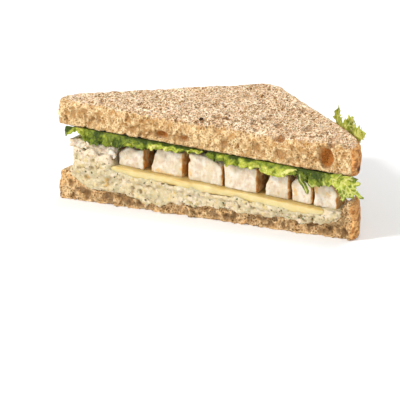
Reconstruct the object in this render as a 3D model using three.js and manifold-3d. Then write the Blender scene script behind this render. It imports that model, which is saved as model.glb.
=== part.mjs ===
// Half of a chicken sandwich, cut corner to corner and standing on its lower slice.
// Sizes are millimetres and Z is up. X runs along the knife cut, the cut faces -Y,
// and the right-angled corner with its crust points to +Y.
import * as THREE from "three";
import { mergeVertices } from "three/addons/utils/BufferGeometryUtils.js";
import Module from "manifold-3d";

// Driving dimensions
const SLICE_SIDE = 116; // square sandwich loaf
const CORNER_RADIUS = 16; // at the two tips of the half
const BACK_CORNER_RADIUS = 9;
const CUT_PAST_DIAGONAL = 4; // the knife passed a little beyond the slice's diagonal
const HEIGHT = 48.3; // top of the upper slice above the table, in the middle of the cut
const UPPER_UNDERSIDE = 34.2; // underside of the upper slice there
const TOP_FALL_X = 0.024; // the top sinks towards the right end
const UNDERSIDE_FALL_X = 0.042;
const FALL_BACK = 0.057; // the filling is deepest at the cut, so the top sinks to the back
const PRESSED_BREAD = 7; // lower slice where the filling presses it
const CRUST_BREAD = 12.5; // lower slice along its crust
const CHEESE_THICKNESS = 3.8;
const CHEESE_TOP = 17.9; // in the middle of the cut
const CHEESE_FALL_X = 0.063;
const CHEESE_FALL_BACK = 0.03;
const CHEESE_ENDS = [-48, 64];
const LEAF_THICKNESS = 0.7;
const CHUNK_SIDE = 15;
const GAP = 0.35; // between pieces that touch
const MIDDLE = [1.9, 35.9]; // of the whole, seen from above: it goes over the origin

const FRONT = -CUT_PAST_DIAGONAL;
const HALF_DIAGONAL = SLICE_SIDE / Math.SQRT2;
const CORNER_CENTRE = HALF_DIAGONAL - CORNER_RADIUS * Math.SQRT2;
const BACK_CENTRE = HALF_DIAGONAL - BACK_CORNER_RADIUS * Math.SQRT2;
const QUARTER = Math.PI / 4;

const { lerp, smoothstep, clamp } = THREE.MathUtils;

const wasm = await Module();
wasm.setup();

// A repeatable random draw from 0 to 1.
function randomFrom(seed) {
  let state = seed;
  return () => {
    state = (state * 1664525 + 1013904223) % 4294967296;
    return state / 4294967296;
  };
}

// Smooth unevenness from -1 to 1 over lengths of about `size`.
function uneven(x, y, z, size) {
  const [a, b, c] = [x / size, y / size, z / size];
  const wide = Math.sin(a * 2.1 + b * 1.3 + 0.7) * Math.sin(b * 2.3 - c * 1.9 + 1.9);
  const fine = Math.sin(a * 4.7 - c * 3.1 + 2.2) * Math.sin(b * 5.3 + c * 4.1 + 0.4);
  return 0.6 * wide + 0.4 * fine;
}

// The value at x of a line through [x, value] knots.
function along(knots, x) {
  const next = knots.findIndex(([at]) => at > x);
  if (next === 0) return knots[0][1];
  if (next < 0) return knots[knots.length - 1][1];
  const [[x0, v0], [x1, v1]] = [knots[next - 1], knots[next]];
  return lerp(v0, v1, (x - x0) / (x1 - x0));
}

// Heights of the layers over the table

// The knife pressed the upper slice's edge down, most of all right of the middle.
const PRESSED_EDGE = [
  [-75, 0.3], [-60, 1.3], [-40, 2.8], [-20, 4.6], [15, 4.4], [30, 6], [40, 5.4], [60, 2], [75, 0.3],
];

const topOfUpperSlice = (x, y) => {
  const fromCut = y - FRONT;
  const dip = along(PRESSED_EDGE, x) * Math.exp(-fromCut / 4.5);
  return HEIGHT - TOP_FALL_X * x - FALL_BACK * fromCut - dip;
};

const underUpperSlice = (x, y) =>
  UPPER_UNDERSIDE - UNDERSIDE_FALL_X * x - FALL_BACK * (y - FRONT);

const cheeseTop = (x, y) => CHEESE_TOP - CHEESE_FALL_X * x - CHEESE_FALL_BACK * (y - FRONT);

// The lower slice is pressed thin inside and keeps its height at the crust and both tips.
const topOfLowerSlice = (x, y) => {
  const fromCrust = (HALF_DIAGONAL - Math.abs(x) - y) / Math.SQRT2;
  const rim = (CRUST_BREAD - PRESSED_BREAD) * Math.exp(-((fromCrust / 6) ** 2));
  const leftTip = 8 * smoothstep(-x, 58, 73);
  const rightTip = 11 * smoothstep(x, 62.5, 73.5);
  return PRESSED_BREAD + Math.max(rim, leftTip, rightTip);
};

// The spread rises to the cheese's top, and is heaped up beyond the cheese's left end.
const topOfSpread = (x, y) => {
  const beyond = smoothstep(y, 8, 26);
  const heap = 2.6 * smoothstep(-x, 49.5, 53) + 2 * smoothstep(-x, 59, 63.5);
  return cheeseTop(x, y) + heap * (1 - beyond);
};

// Room that the lettuce takes between the chicken and the upper slice.
const lettuceRoom = (x, y) => {
  const atCut = [[-75, 5.5], [-40, 5], [-15, 2.7], [0, 2.4], [20, 3.7], [45, 4.8], [75, 5.5]];
  return lerp(along(atCut, x), 4.2, smoothstep(y, 8, 16));
};

const chickenCeiling = (x, y) => underUpperSlice(x, y) - lettuceRoom(x, y);

// Outlines seen from above

// Points along curves, anticlockwise, each curve with its own count.
const outlineOf = (curves) =>
  curves.flatMap(([curve, count]) => curve.getSpacedPoints(count).slice(0, -1));

const line = (x0, y0, x1, y1) =>
  new THREE.LineCurve(new THREE.Vector2(x0, y0), new THREE.Vector2(x1, y1));

// Both crust sides, moved in by `inset`, and the corner between them, from one end at
// height y to the other.
function crustCurves(inset, y, count) {
  const radius = BACK_CORNER_RADIUS - inset;
  const leg = radius * Math.SQRT1_2;
  const end = BACK_CENTRE + 2 * leg - y;
  return [
    [line(end, y, leg, BACK_CENTRE + leg), count],
    [new THREE.EllipseCurve(0, BACK_CENTRE, radius, radius, QUARTER, 3 * QUARTER), 5],
    [line(-leg, BACK_CENTRE + leg, -end, y), count],
  ];
}

// The half slice, moved in by `inset`, with its cut edge at y = front.
function halfSlice(inset = 0, front = FRONT) {
  const radius = CORNER_RADIUS - inset;
  const start = Math.asin(front / radius);
  const halfCut = CORNER_CENTRE + radius * Math.cos(start);
  const tip = (x, from, to) => new THREE.EllipseCurve(x, 0, radius, radius, from, to);
  return outlineOf([
    [line(-halfCut, front, halfCut, front), 24],
    [tip(CORNER_CENTRE, start, QUARTER), 4],
    ...crustCurves(inset, radius * Math.SQRT1_2, 10),
    [tip(-CORNER_CENTRE, 3 * QUARTER, Math.PI - start), 4],
  ]);
}

// A square cheese slice halved corner to corner, grown by `extra` on every side.
function halfCheese(extra = 0) {
  const front = FRONT - 2.4 - extra;
  const [left, right] = [CHEESE_ENDS[0] - extra * 2.4, CHEESE_ENDS[1] + extra * 2.4];
  const back = front + (right - left) / 2;
  const corners = [[left, front], [right, front], [(left + right) / 2, back]];
  const points = corners.map(([x, y]) => new THREE.Vector2(x, y));
  const side = (a, b, n) => [new THREE.LineCurve(points[a], points[b]), n];
  return outlineOf([side(0, 1, 14), side(1, 2, 8), side(2, 0, 8)]);
}

// Outward normals of an anticlockwise outline.
function normalsOf(outline) {
  const n = outline.length;
  return outline.map((_, i) => {
    const ahead = outline[(i + 1) % n].clone().sub(outline[(i + n - 1) % n]).normalize();
    return new THREE.Vector2(ahead.y, -ahead.x);
  });
}

// Steps of a layer's section, from the middle of its underside round the rim to the middle
// of its top: how far out, how much further in, and how high between the two faces.
const RINGS = [0.35, 0.65, 0.88];
const breadSection = [
  { out: 0.6, inset: 0, high: 0 },
  { out: 1, inset: 0.7, high: 0 },
  { out: 1, inset: -0.1, high: 0.1 },
  { out: 1, inset: -0.7, high: 0.35 },
  { out: 1, inset: -0.8, high: 0.65 },
  { out: 1, inset: -0.2, high: 0.9 },
  { out: 1, inset: 1, high: 1 },
  ...RINGS.toReversed().map((out) => ({ out, inset: 0, high: 1 })),
];
const spreadSection = [
  { out: 0.6, inset: 0, high: 0 },
  { out: 1, inset: 0.6, high: 0 },
  { out: 1, inset: -0.6, high: 0.4 },
  { out: 1, inset: -0.5, high: 0.75 },
  { out: 1, inset: 0.8, high: 1 },
  ...RINGS.toReversed().map((out) => ({ out, inset: 0, high: 1 })),
];
const thinSection = [
  ...RINGS.map((out) => ({ out, inset: 0, high: 0 })),
  { out: 1, inset: 0, high: 0 },
  { out: 1, inset: 0, high: 1 },
  ...RINGS.toReversed().map((out) => ({ out, inset: 0, high: 1 })),
];

// A closed layer over an outline. `relief` moves a point of the layer, in place.
function layerGeometry({ outline, middle, section, bottom, top, relief = () => {} }) {
  const normals = normalsOf(outline);
  const n = outline.length;
  const points = [];
  const add = (x, y, high, normal) => {
    const p = new THREE.Vector3(x, y, lerp(bottom(x, y), top(x, y), high));
    relief(p, high, normal);
    points.push(p.x, p.y, p.z);
  };
  add(middle.x, middle.y, 0, new THREE.Vector2());
  for (const { out, inset, high } of section) {
    outline.forEach((corner, i) => {
      const p = middle.clone().lerp(corner, out).addScaledVector(normals[i], -inset);
      add(p.x, p.y, high, out === 1 ? normals[i] : new THREE.Vector2());
    });
  }
  add(middle.x, middle.y, 1, new THREE.Vector2());

  const faces = [];
  const at = (step, i) => 1 + step * n + (i % n);
  const last = section.length - 1;
  for (let i = 0; i < n; i++) {
    faces.push(0, at(0, i + 1), at(0, i));
    for (let step = 0; step < last; step++) {
      const [a, b] = [at(step, i), at(step, i + 1)];
      const [c, d] = [at(step + 1, i + 1), at(step + 1, i)];
      const onTop = section[step].high > 0.5;
      if (onTop) faces.push(a, b, d, b, c, d);
      else faces.push(a, b, c, a, c, d);
    }
    faces.push(at(last, i), at(last, i + 1), 1 + section.length * n);
  }
  return geometryFrom(points, faces);
}

function geometryFrom(points, faces) {
  const geometry = new THREE.BufferGeometry();
  geometry.setAttribute("position", new THREE.Float32BufferAttribute(points, 3));
  geometry.setIndex(faces);
  return geometry;
}

// A thin closed leaf round a surface given as a function of u and v from 0 to 1.
function leafGeometry(surface, acrossU, acrossV) {
  const points = [];
  const step = 1e-3;
  for (const side of [-0.5, 0.5]) {
    for (let i = 0; i <= acrossU; i++) {
      for (let j = 0; j <= acrossV; j++) {
        const [u, v] = [i / acrossU, j / acrossV];
        const alongU = surface(u + step, v).sub(surface(u - step, v));
        const alongV = surface(u, v + step).sub(surface(u, v - step));
        const normal = alongU.cross(alongV).normalize();
        const p = surface(u, v).addScaledVector(normal, side * LEAF_THICKNESS);
        points.push(p.x, p.y, p.z);
      }
    }
  }
  const row = acrossV + 1;
  const layer = (acrossU + 1) * row;
  const faces = [];
  for (let i = 0; i < acrossU; i++) {
    for (let j = 0; j < acrossV; j++) {
      const a = i * row + j;
      const [b, c, d] = [a + row, a + row + 1, a + 1];
      faces.push(a, c, b, a, d, c);
      faces.push(...[a, b, c, a, c, d].map((k) => k + layer));
    }
  }
  const rim = (a, b) => faces.push(a, b, b + layer, a, b + layer, a + layer);
  for (let i = 0; i < acrossU; i++) {
    rim(i * row, (i + 1) * row);
    rim((i + 1) * row + acrossV, i * row + acrossV);
  }
  for (let j = 0; j < acrossV; j++) {
    rim(j + 1, j);
    rim(acrossU * row + j, acrossU * row + j + 1);
  }
  return geometryFrom(points, faces);
}

// Joining and cutting

function solidFrom(geometry) {
  const bare = geometry.clone();
  bare.deleteAttribute("normal");
  bare.deleteAttribute("uv");
  const merged = mergeVertices(bare, 1e-4);
  return new wasm.Manifold(
    new wasm.Mesh({
      numProp: 3,
      vertProperties: new Float32Array(merged.attributes.position.array),
      triVerts: new Uint32Array(merged.index.array),
    }),
  );
}

function geometryOf(solid) {
  const mesh = solid.getMesh();
  return geometryFrom(Array.from(mesh.vertProperties), Array.from(mesh.triVerts));
}

// An air pocket of the crumb, as an ellipsoid to cut out.
function pocket([x, y, z], [rx, ry, rz]) {
  const ball = new THREE.SphereGeometry(1, 8, 6);
  ball.scale(rx, ry, rz);
  ball.translate(x, y, z);
  return solidFrom(ball);
}

const without = (solid, cutters) => cutters.reduce((left, cutter) => left.subtract(cutter), solid);

// The pieces

// Crumb and crust are a little uneven all over.
const breadRelief = (seed) => (p, high, normal) => {
  const bump = 0.45 * uneven(p.x + seed, p.y, p.z, 7);
  p.x += normal.x * bump;
  p.y += normal.y * bump;
  if (high === 1) p.z += 0.6 * bump;
};

function upperSlice() {
  const whole = layerGeometry({
    outline: halfSlice(),
    middle: new THREE.Vector2(0, 24),
    section: breadSection,
    bottom: underUpperSlice,
    top: topOfUpperSlice,
    relief: breadRelief(31),
  });
  const inCut = [
    { x: 60, z: 39.8, radii: [3.4, 4.2, 4.6] },
    { x: -22, z: 38.6, radii: [3.4, 2.4, 1.8] },
    { x: -10, z: 38.2, radii: [2.6, 1.6, 1.5] },
    { x: 10.5, z: 38.2, radii: [1.7, 1.6, 2.4] },
    { x: 26, z: 38.4, radii: [1.4, 1.4, 1.5] },
    { x: 38.5, z: 37.2, radii: [3.2, 1.8, 2] },
    { x: -36, z: 39.2, radii: [1.8, 1.2, 1.6] },
    { x: -55, z: 43.5, radii: [1.8, 1.2, 1.3] },
  ];
  const inTop = [
    { x: 20.4, y: 21.7, radii: [2, 2.2, 2.6] },
    { x: 18.6, y: 14.1, radii: [2.1, 1.8, 1.9] },
    { x: 31.9, y: 10.2, radii: [2.2, 1.8, 1.7] },
    { x: 36.8, y: -0.6, radii: [2, 1.6, 1.5] },
    { x: 45.3, y: 10.8, radii: [1.9, 2, 1.4] },
    { x: 1, y: 8.7, radii: [2, 1.4, 1.3] },
    { x: 57, y: 10.2, radii: [1.6, 2.2, 1.4] },
    { x: -24, y: 30, radii: [1.7, 1.5, 1.2] },
    { x: -2, y: 52, radii: [1.8, 1.6, 1.3] },
  ];
  return without(solidFrom(whole), [
    ...inCut.map(({ x, z, radii }) => pocket([x, FRONT, z], radii)),
    ...inTop.map(({ x, y, radii }) => pocket([x, y, topOfUpperSlice(x, y)], radii)),
  ]);
}

// The lower slice before its air pockets are cut. The spread is fitted to a copy of it with
// its top raised and its sides moved out by `extra`.
const plainLowerSlice = (extra = 0) =>
  solidFrom(
    layerGeometry({
      outline: halfSlice(),
      middle: new THREE.Vector2(0, 24),
      section: breadSection.map((step) => ({ ...step, inset: step.inset - extra * (step.high < 1) })),
      bottom: () => 0,
      top: (x, y) => topOfLowerSlice(x, y) + extra,
      relief: breadRelief(5),
    }),
  );

function lowerSlice() {
  const inCut = [
    { x: -57, z: 5.6, radii: [2.6, 1.6, 1.5] },
    { x: -34, z: 3.2, radii: [2.4, 1.4, 1.2] },
    { x: 22, z: 3.4, radii: [2.6, 1.5, 1.3] },
    { x: 44, z: 3.8, radii: [2.8, 1.5, 1.4] },
    { x: 62, z: 4.4, radii: [2.2, 1.4, 1.6] },
  ];
  return without(
    plainLowerSlice(),
    inCut.map(({ x, z, radii }) => pocket([x, FRONT, z], radii)),
  );
}

function cheeseGeometry(extra = 0, above = 0) {
  return layerGeometry({
    outline: halfCheese(extra),
    middle: new THREE.Vector2(7, 12),
    section: thinSection,
    bottom: (x, y) => cheeseTop(x, y) - CHEESE_THICKNESS - extra,
    top: (x, y) => cheeseTop(x, y) + above,
  });
}

// The spread of minced chicken in mayonnaise, with the bed that the cheese lies in.
function chickenSpread() {
  const whole = layerGeometry({
    outline: halfSlice(4.5, FRONT - 0.6),
    middle: new THREE.Vector2(0, 24),
    section: spreadSection,
    bottom: (x, y) => Math.min(topOfLowerSlice(x, y), topOfSpread(x, y)) - 1.5,
    top: (x, y) => topOfSpread(x, y) - 0.45,
    relief: (p, high, normal) => {
      const lump = 0.75 * uneven(p.x, p.y - 9, p.z, 5);
      p.x += normal.x * lump;
      p.y += normal.y * lump;
      if (high === 1) p.z += 0.4 * lump;
    },
  });
  return without(solidFrom(whole), [
    plainLowerSlice(GAP),
    solidFrom(cheeseGeometry(GAP, 20)),
    ...CUT_ROW.slice(0, 2).map((spec, i) => solidFrom(cutRowChunk(spec, 11 + i, GAP))),
  ]);
}

// A knife-cut dice: a box with softened corners, a lean and an uneven skin, all inside its size.
function chunkGeometry({ centre, size, turn, base, seed }) {
  const random = randomFrom(seed);
  const [leanX, leanY, taper] = [random() - 0.5, random() - 0.5, random()];
  const box = new THREE.BoxGeometry(2, 2, 2, 3, 3, 3);
  const position = box.attributes.position;
  const corner = new THREE.Vector3();
  for (let i = 0; i < position.count; i++) {
    corner.fromBufferAttribute(position, i);
    const [a, b, c] = [corner.x ** 2, corner.y ** 2, corner.z ** 2];
    corner.x *= 1 - 0.09 * (b + c) * 0.5;
    corner.y *= 1 - 0.09 * (a + c) * 0.5;
    corner.z *= 1 - 0.07 * (a + b) * 0.5;
    const rough = 0.05 * uneven(corner.x * 3 + seed, corner.y * 3, corner.z * 3, 1.6);
    corner.multiplyScalar(0.95 + rough);
    const up = (corner.z + 1) / 2;
    const narrow = 1 - 0.08 * taper * up;
    const x = (corner.x * narrow * size[0]) / 2 + leanX * 0.8 * (up - 0.5);
    const y = (corner.y * narrow * size[1]) / 2 + leanY * 0.8 * (up - 0.5);
    const [worldX, worldY] = [
      centre[0] + x * Math.cos(turn) - y * Math.sin(turn),
      centre[1] + x * Math.sin(turn) + y * Math.cos(turn),
    ];
    position.setXYZ(i, worldX, worldY, base(worldX, worldY) + GAP + up * size[2]);
  }
  const bare = box.clone();
  bare.deleteAttribute("normal");
  bare.deleteAttribute("uv");
  return mergeVertices(bare, 1e-4);
}

// The dice that show in the cut, from left to right: ends along X, front and back, share of
// the height under the lettuce, and how far they are raised by the heap of spread.
const CUT_ROW = [
  { from: -70.5, to: -61.5, front: -4.6, back: 5.5, share: 1, raised: 4.7 },
  { from: -60.6, to: -45.6, front: -4.4, back: 7, share: 0.96, raised: 2.7 },
  { from: -44.6, to: -31, front: -3.5, back: 9.5, share: 0.98, raised: 0 },
  { from: -27.6, to: -10.8, front: -3.3, back: 10.5, share: 1, raised: 0 },
  { from: -8, to: 9.6, front: -3.4, back: 10, share: 0.99, raised: 0 },
  { from: 10.4, to: 27.2, front: -3.8, back: 10.5, share: 0.98, raised: 0 },
  { from: 30.6, to: 43, front: -3.2, back: 10, share: 0.99, raised: 0 },
  { from: 44.4, to: 54.6, front: -3.1, back: 8.6, share: 0.97, raised: 0 },
  { from: 55.4, to: 67.2, front: -3.4, back: 8.4, share: 0.97, raised: 0 },
];

function cutRowChunk({ from, to, front, back, share, raised }, seed, extra = 0) {
  const centre = [(from + to) / 2, (front + back) / 2];
  const room = chickenCeiling(...centre) - cheeseTop(...centre) - raised;
  const size = [to - from, back - front, (room - 2 * GAP) * share];
  return chunkGeometry({
    centre,
    size: size.map((length) => length + 2 * extra),
    turn: 0,
    base: (x, y) => cheeseTop(x, y) + raised - extra,
    seed,
  });
}

// Behind the cut the dice lie in rows along the two crusts, as far as the cut's own row.
function chunkPlacesBehind() {
  const pitch = CHUNK_SIDE + 0.9;
  const outer = SLICE_SIDE / 2 - 2.6;
  const behindCutRow = 10.3;
  const places = [];
  for (let i = 0; i < 6; i++) {
    for (let j = 0; j < 6; j++) {
      const [along, across] = [outer - (i + 0.5) * pitch, outer - (j + 0.5) * pitch];
      const centre = [(along - across) * Math.SQRT1_2, (along + across) * Math.SQRT1_2];
      const nearest = centre[1] - CHUNK_SIDE * Math.SQRT1_2;
      if (nearest > behindCutRow) places.push(centre);
    }
  }
  return places;
}

function chunkBehind(centre, seed) {
  const random = randomFrom(seed * 7919);
  const [w, d] = [CHUNK_SIDE * (0.9 + 0.1 * random()), CHUNK_SIDE * (0.9 + 0.1 * random())];
  const room = chickenCeiling(...centre) - cheeseTop(...centre);
  return chunkGeometry({
    centre,
    size: [w, d, (room - 3 * GAP) * (0.9 + 0.08 * random())],
    turn: QUARTER,
    base: cheeseTop,
    seed,
  });
}

// A lettuce leaf that lies under the upper slice and hangs a little way over the cut.
// `drop` gives how far it hangs as [x, millimetres] knots, `behind` how far back it ends.
function cutLeaf({ from, to, drop, ruffle, phase, behind }) {
  const overEdge = 0.36; // share of the leaf that hangs in front of the chicken
  const surface = (u, v) => {
    const x = lerp(from, to, u);
    const hang = clamp((overEdge - v) / overEdge, 0, 1);
    const inside = clamp((v - overEdge) / (1 - overEdge), 0, 1);
    const wave = Math.sin(x * 0.62 + phase) * Math.cos(v * 5 + x * 0.17);
    const frill = ruffle * hang * Math.sin(x * 1.15 + phase);
    const y = lerp(-7.2 - 1.3 * Math.sqrt(hang) + frill, behind(x), inside);
    const room = lettuceRoom(x, y);
    const ripple = (room / 2 - 1) * 0.8 * wave;
    const middle = underUpperSlice(x, y) - room / 2 - 0.1;
    return new THREE.Vector3(x + 0.5 * frill, y, middle + ripple - hang * along(drop, x));
  };
  return leafGeometry(surface, Math.round((to - from) / 2.7), 7);
}

const LEFT_DROP = [
  [-72, 4], [-69, 1], [-62, 3], [-52, 3.4], [-44, 3], [-38, 1.4], [-32, 2.6], [-20, 1.2], [1, 0.6],
];
const RIGHT_DROP = [
  [3, 1], [10, 4.6], [14, 2], [27, 2.2], [36, 3.6], [43, 1.6], [48, 2.4], [52, 9], [55, 3],
  [62, 1.6], [67, 4], [70, 8], [80, 9],
];

const leftLeaf = () =>
  cutLeaf({
    from: -72.5,
    to: 0.5,
    drop: LEFT_DROP,
    ruffle: 0.7,
    phase: 0.4,
    behind: (x) => Math.min(28, HALF_DIAGONAL + x + 1),
  });

const rightLeaf = () =>
  cutLeaf({
    from: 3,
    to: 80,
    drop: RIGHT_DROP,
    ruffle: 0.9,
    phase: 1.9,
    behind: (x) => Math.min(28, HALF_DIAGONAL - x - 5),
  });

// The leaf at the back, with its curly rim past both crusts.
function backLeaf() {
  const [front, past] = [33, 2.2];
  const end = HALF_DIAGONAL + past * Math.SQRT2 - front;
  const middle = (x, y) => {
    const outside = smoothstep(Math.abs(x) + y, HALF_DIAGONAL - 2, HALF_DIAGONAL + 4);
    const wave = 0.5 * Math.sin(x * 0.5 + 1) * Math.cos(y * 0.45);
    const curl = 1.3 * Math.sin(x * 0.9 + y * 0.25) * outside;
    return underUpperSlice(x, y) - 2.1 + wave + curl;
  };
  return layerGeometry({
    outline: outlineOf([[line(-end, front, end, front), 22], ...crustCurves(-past, front, 14)]),
    middle: new THREE.Vector2(0, 52),
    section: thinSection,
    bottom: (x, y) => middle(x, y) - LEAF_THICKNESS / 2,
    top: (x, y) => middle(x, y) + LEAF_THICKNESS / 2,
    relief: (p, high, normal) => {
      const frill = 1.2 * Math.sin(p.x * 0.75 + 0.6) * Math.max(0, normal.y);
      p.x += normal.x * frill;
      p.y += normal.y * frill;
    },
  });
}

// A curly sprig that comes out at the right crust and stands up past the upper slice.
function sprig() {
  const teeth = [
    [0, 0.3], [0.1, 1], [0.22, 0.5], [0.46, 0.72], [0.54, 1], [0.62, 0.86], [0.74, 0.6], [0.86, 0.84],
    [0.95, 0.8], [1, 0.4],
  ];
  const surface = (u, v) => {
    const tip = along(teeth, clamp(u, 0, 1));
    const out = smoothstep(v, 0.05, 0.5);
    const rise = Math.max(0, v - 0.3) / 0.7;
    const reach = HALF_DIAGONAL - 3.4 + 7.2 * out + 6 * rise * tip;
    const x = lerp(lerp(54, 63, u), lerp(44, 70, u), rise);
    const z = lerp(28.8, 28, u) + rise * tip * lerp(18.5, 17, u) + 0.5 * Math.sin(u * 17) * rise;
    return new THREE.Vector3(x, reach - x, z);
  };
  return leafGeometry(surface, 20, 6);
}

// Colours, as seen in daylight
const BREAD = { color: 0xc9a06c, roughness: 0.9, metalness: 0 };
const SPREAD = { color: 0xd9cfa8, roughness: 0.6, metalness: 0 };
const CHEESE = { color: 0xe8cf7e, roughness: 0.45, metalness: 0 };
const CHICKEN = { color: 0xe9dcc6, roughness: 0.65, metalness: 0 };
const LETTUCE = { color: 0x6f9a2e, roughness: 0.5, metalness: 0 };

const sandwich = new THREE.Group();
sandwich.position.set(-MIDDLE[0], -MIDDLE[1], 0);

function place(name, geometry, look) {
  const mesh = new THREE.Mesh(geometry, new THREE.MeshStandardMaterial(look));
  mesh.name = name;
  sandwich.add(mesh);
}

const numbered = (i) => String(i + 1).padStart(2, "0");

place("bread_lower", geometryOf(lowerSlice()), BREAD);
place("chicken_spread", geometryOf(chickenSpread()), SPREAD);
place("cheese", cheeseGeometry(), CHEESE);
CUT_ROW.forEach((spec, i) => {
  place("chicken_" + numbered(i), cutRowChunk(spec, 11 + i), CHICKEN);
});
chunkPlacesBehind().forEach((centre, i) => {
  place("chicken_" + numbered(CUT_ROW.length + i), chunkBehind(centre, 41 + i), CHICKEN);
});
place("lettuce_left", leftLeaf(), LETTUCE);
place("lettuce_right", rightLeaf(), LETTUCE);
place("lettuce_back", backLeaf(), LETTUCE);
place("lettuce_sprig", sprig(), LETTUCE);
place("bread_upper", geometryOf(upperSlice()), BREAD);

export default sandwich;
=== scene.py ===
import math

import bpy
import numpy as np
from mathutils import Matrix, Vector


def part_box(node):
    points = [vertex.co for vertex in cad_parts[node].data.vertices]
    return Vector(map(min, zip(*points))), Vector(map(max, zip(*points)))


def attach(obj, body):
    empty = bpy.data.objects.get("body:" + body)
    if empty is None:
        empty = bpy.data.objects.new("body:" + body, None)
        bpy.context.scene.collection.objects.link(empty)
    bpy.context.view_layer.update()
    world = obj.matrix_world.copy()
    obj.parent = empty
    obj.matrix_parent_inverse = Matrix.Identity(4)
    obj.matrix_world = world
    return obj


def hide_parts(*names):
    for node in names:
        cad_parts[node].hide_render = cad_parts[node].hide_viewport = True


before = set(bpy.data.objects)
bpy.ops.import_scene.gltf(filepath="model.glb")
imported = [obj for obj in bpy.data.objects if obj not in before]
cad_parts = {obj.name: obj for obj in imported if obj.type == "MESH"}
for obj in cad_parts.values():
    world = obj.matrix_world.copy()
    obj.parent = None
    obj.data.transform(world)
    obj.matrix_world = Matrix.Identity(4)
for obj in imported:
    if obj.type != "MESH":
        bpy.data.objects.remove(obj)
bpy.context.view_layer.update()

# Driving dimensions of the sandwich half, in millimetres, in its design axes: x along the
# knife cut, the cut facing -y, and the slices' square corner towards +y.
MM = 0.001
SLICE_SIDE = 116.0
CORNER_RADIUS = 16.0
BACK_CORNER_RADIUS = 9.0
FRONT = -4.0
HEIGHT = 48.3
UPPER_UNDERSIDE = 34.2
TOP_FALL_X = 0.024
UNDERSIDE_FALL_X = 0.042
FALL_BACK = 0.057
PRESSED_REACH = 4.5
WORN_TIP = 2.0
PRESSED_BREAD = 7.0
CRUST_BREAD = 12.5
RIM_REACH = 6.0
LEFT_TIP_RISE = 7.0
RIGHT_TIP_RISE = 11.0
CHEESE_TOP = 17.9
CHEESE_THICKNESS = 3.8
CHEESE_FALL_X = 0.063
CHEESE_FALL_BACK = 0.03
CHEESE_ENDS = (-48.0, 64.0)
CHEESE_FRONT = FRONT - 2.4
DICE_GAP = 0.35

HALF_DIAGONAL = SLICE_SIDE / math.sqrt(2)
BACK_CENTRE = HALF_DIAGONAL - BACK_CORNER_RADIUS * math.sqrt(2)

# The cheese's left front corner ties the design axes to the frame.
CHEESE_LOW = np.array(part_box("cheese")[0])
MIDDLE = np.array([CHEESE_ENDS[0], CHEESE_FRONT, 0.0]) - [CHEESE_LOW[0] / MM, CHEESE_LOW[1] / MM, 0]


def to_frame(points):
    """Design millimetres as metres in the frame."""
    return (np.asarray(points, float) - MIDDLE) * MM


def node_box(name):
    """A node's lowest and highest corners in design millimetres."""
    return [np.array(corner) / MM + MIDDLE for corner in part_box(name)]


def chosen_step(fine):
    """The sampling step in millimetres."""
    return fine


# Unevenness

LATTICE_SIZE = 64
LATTICE = np.random.default_rng(5).random((LATTICE_SIZE,) * 3, dtype=np.float32) * 2 - 1
CORNERS = [(a, b, c) for a in (0, 1) for b in (0, 1) for c in (0, 1)]


def noise(x, y, z, size, seed=0):
    """Smooth unevenness from -1 to 1 over lengths of about `size` millimetres."""
    low, share = [], []
    for value, offset in zip((x, y, z), (3.7, 11.3, 23.9)):
        scaled = np.asarray(value, np.float32) / np.float32(size) + np.float32(offset * (seed + 1))
        whole = np.floor(scaled)
        part = scaled - whole
        low.append(whole.astype(np.int32))
        share.append(part * part * (3 - 2 * part))
    total = 0
    for corner in CORNERS:
        weight = 1
        for far, part in zip(corner, share):
            weight = weight * (part if far else 1 - part)
        place = tuple((first + far) % LATTICE_SIZE for first, far in zip(low, corner))
        total = total + weight * LATTICE[place]
    return total


def noise_along(x, size, seed):
    """Unevenness along a line."""
    return noise(x, 0 * x, 0 * x, size, seed)


def rough(x, y, z, size, octaves, seed=0):
    """Several sizes of unevenness together."""
    return sum(0.55**i * noise(x, y, z, size / 2.1**i, seed + i) for i in range(octaves))


def smoothstep(value, low, high):
    """0 below `low`, 1 above `high`, with a soft rise between them."""
    t = np.clip((value - low) / (high - low), 0, 1)
    return t * t * (3 - 2 * t)


def along(knots, x):
    """The value at x of a line through (x, value) knots."""
    at, values = zip(*knots)
    return np.interp(x, at, values)


def smooth_max(a, b, width):
    """The larger of two distances, with the edge between them rounded."""
    meet = np.maximum(width - np.abs(a - b), 0)
    return np.maximum(a, b) + meet * meet / (4 * width)


# Heights of the layers over the table, as in the solids

# How far the upper slice's top is pressed down along the cut.
PRESSED_EDGE = [
    (-75, 0.3), (-60, 1.3), (-40, 2.8), (-20, 4.6), (15, 4.4), (30, 6), (40, 5.4), (60, 2), (75, 0.3),
]


def top_of_upper_slice(x, y):
    from_cut = np.maximum(y - FRONT, 0)
    dip = along(PRESSED_EDGE, x) * np.exp(-from_cut / PRESSED_REACH)
    worn_tip = WORN_TIP * smoothstep(x, 67, 78)
    return HEIGHT - TOP_FALL_X * x - FALL_BACK * (y - FRONT) - dip - worn_tip


def under_upper_slice(x, y):
    return UPPER_UNDERSIDE - UNDERSIDE_FALL_X * x - FALL_BACK * (y - FRONT)


def cheese_top(x, y):
    return CHEESE_TOP - CHEESE_FALL_X * x - CHEESE_FALL_BACK * (y - FRONT)


def table(x, y):
    """Flat, with a value for each x and y."""
    return 0 * x * y


def top_of_lower_slice(x, y):
    from_crust = (HALF_DIAGONAL - np.abs(x) - y) / math.sqrt(2)
    rim = (CRUST_BREAD - PRESSED_BREAD) * np.exp(-((from_crust / RIM_REACH) ** 2))
    left_tip = LEFT_TIP_RISE * smoothstep(-x, 58, 73)
    right_tip = RIGHT_TIP_RISE * smoothstep(x, 62.5, 73.5)
    return PRESSED_BREAD + np.maximum(np.maximum(rim, left_tip), right_tip)


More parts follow.
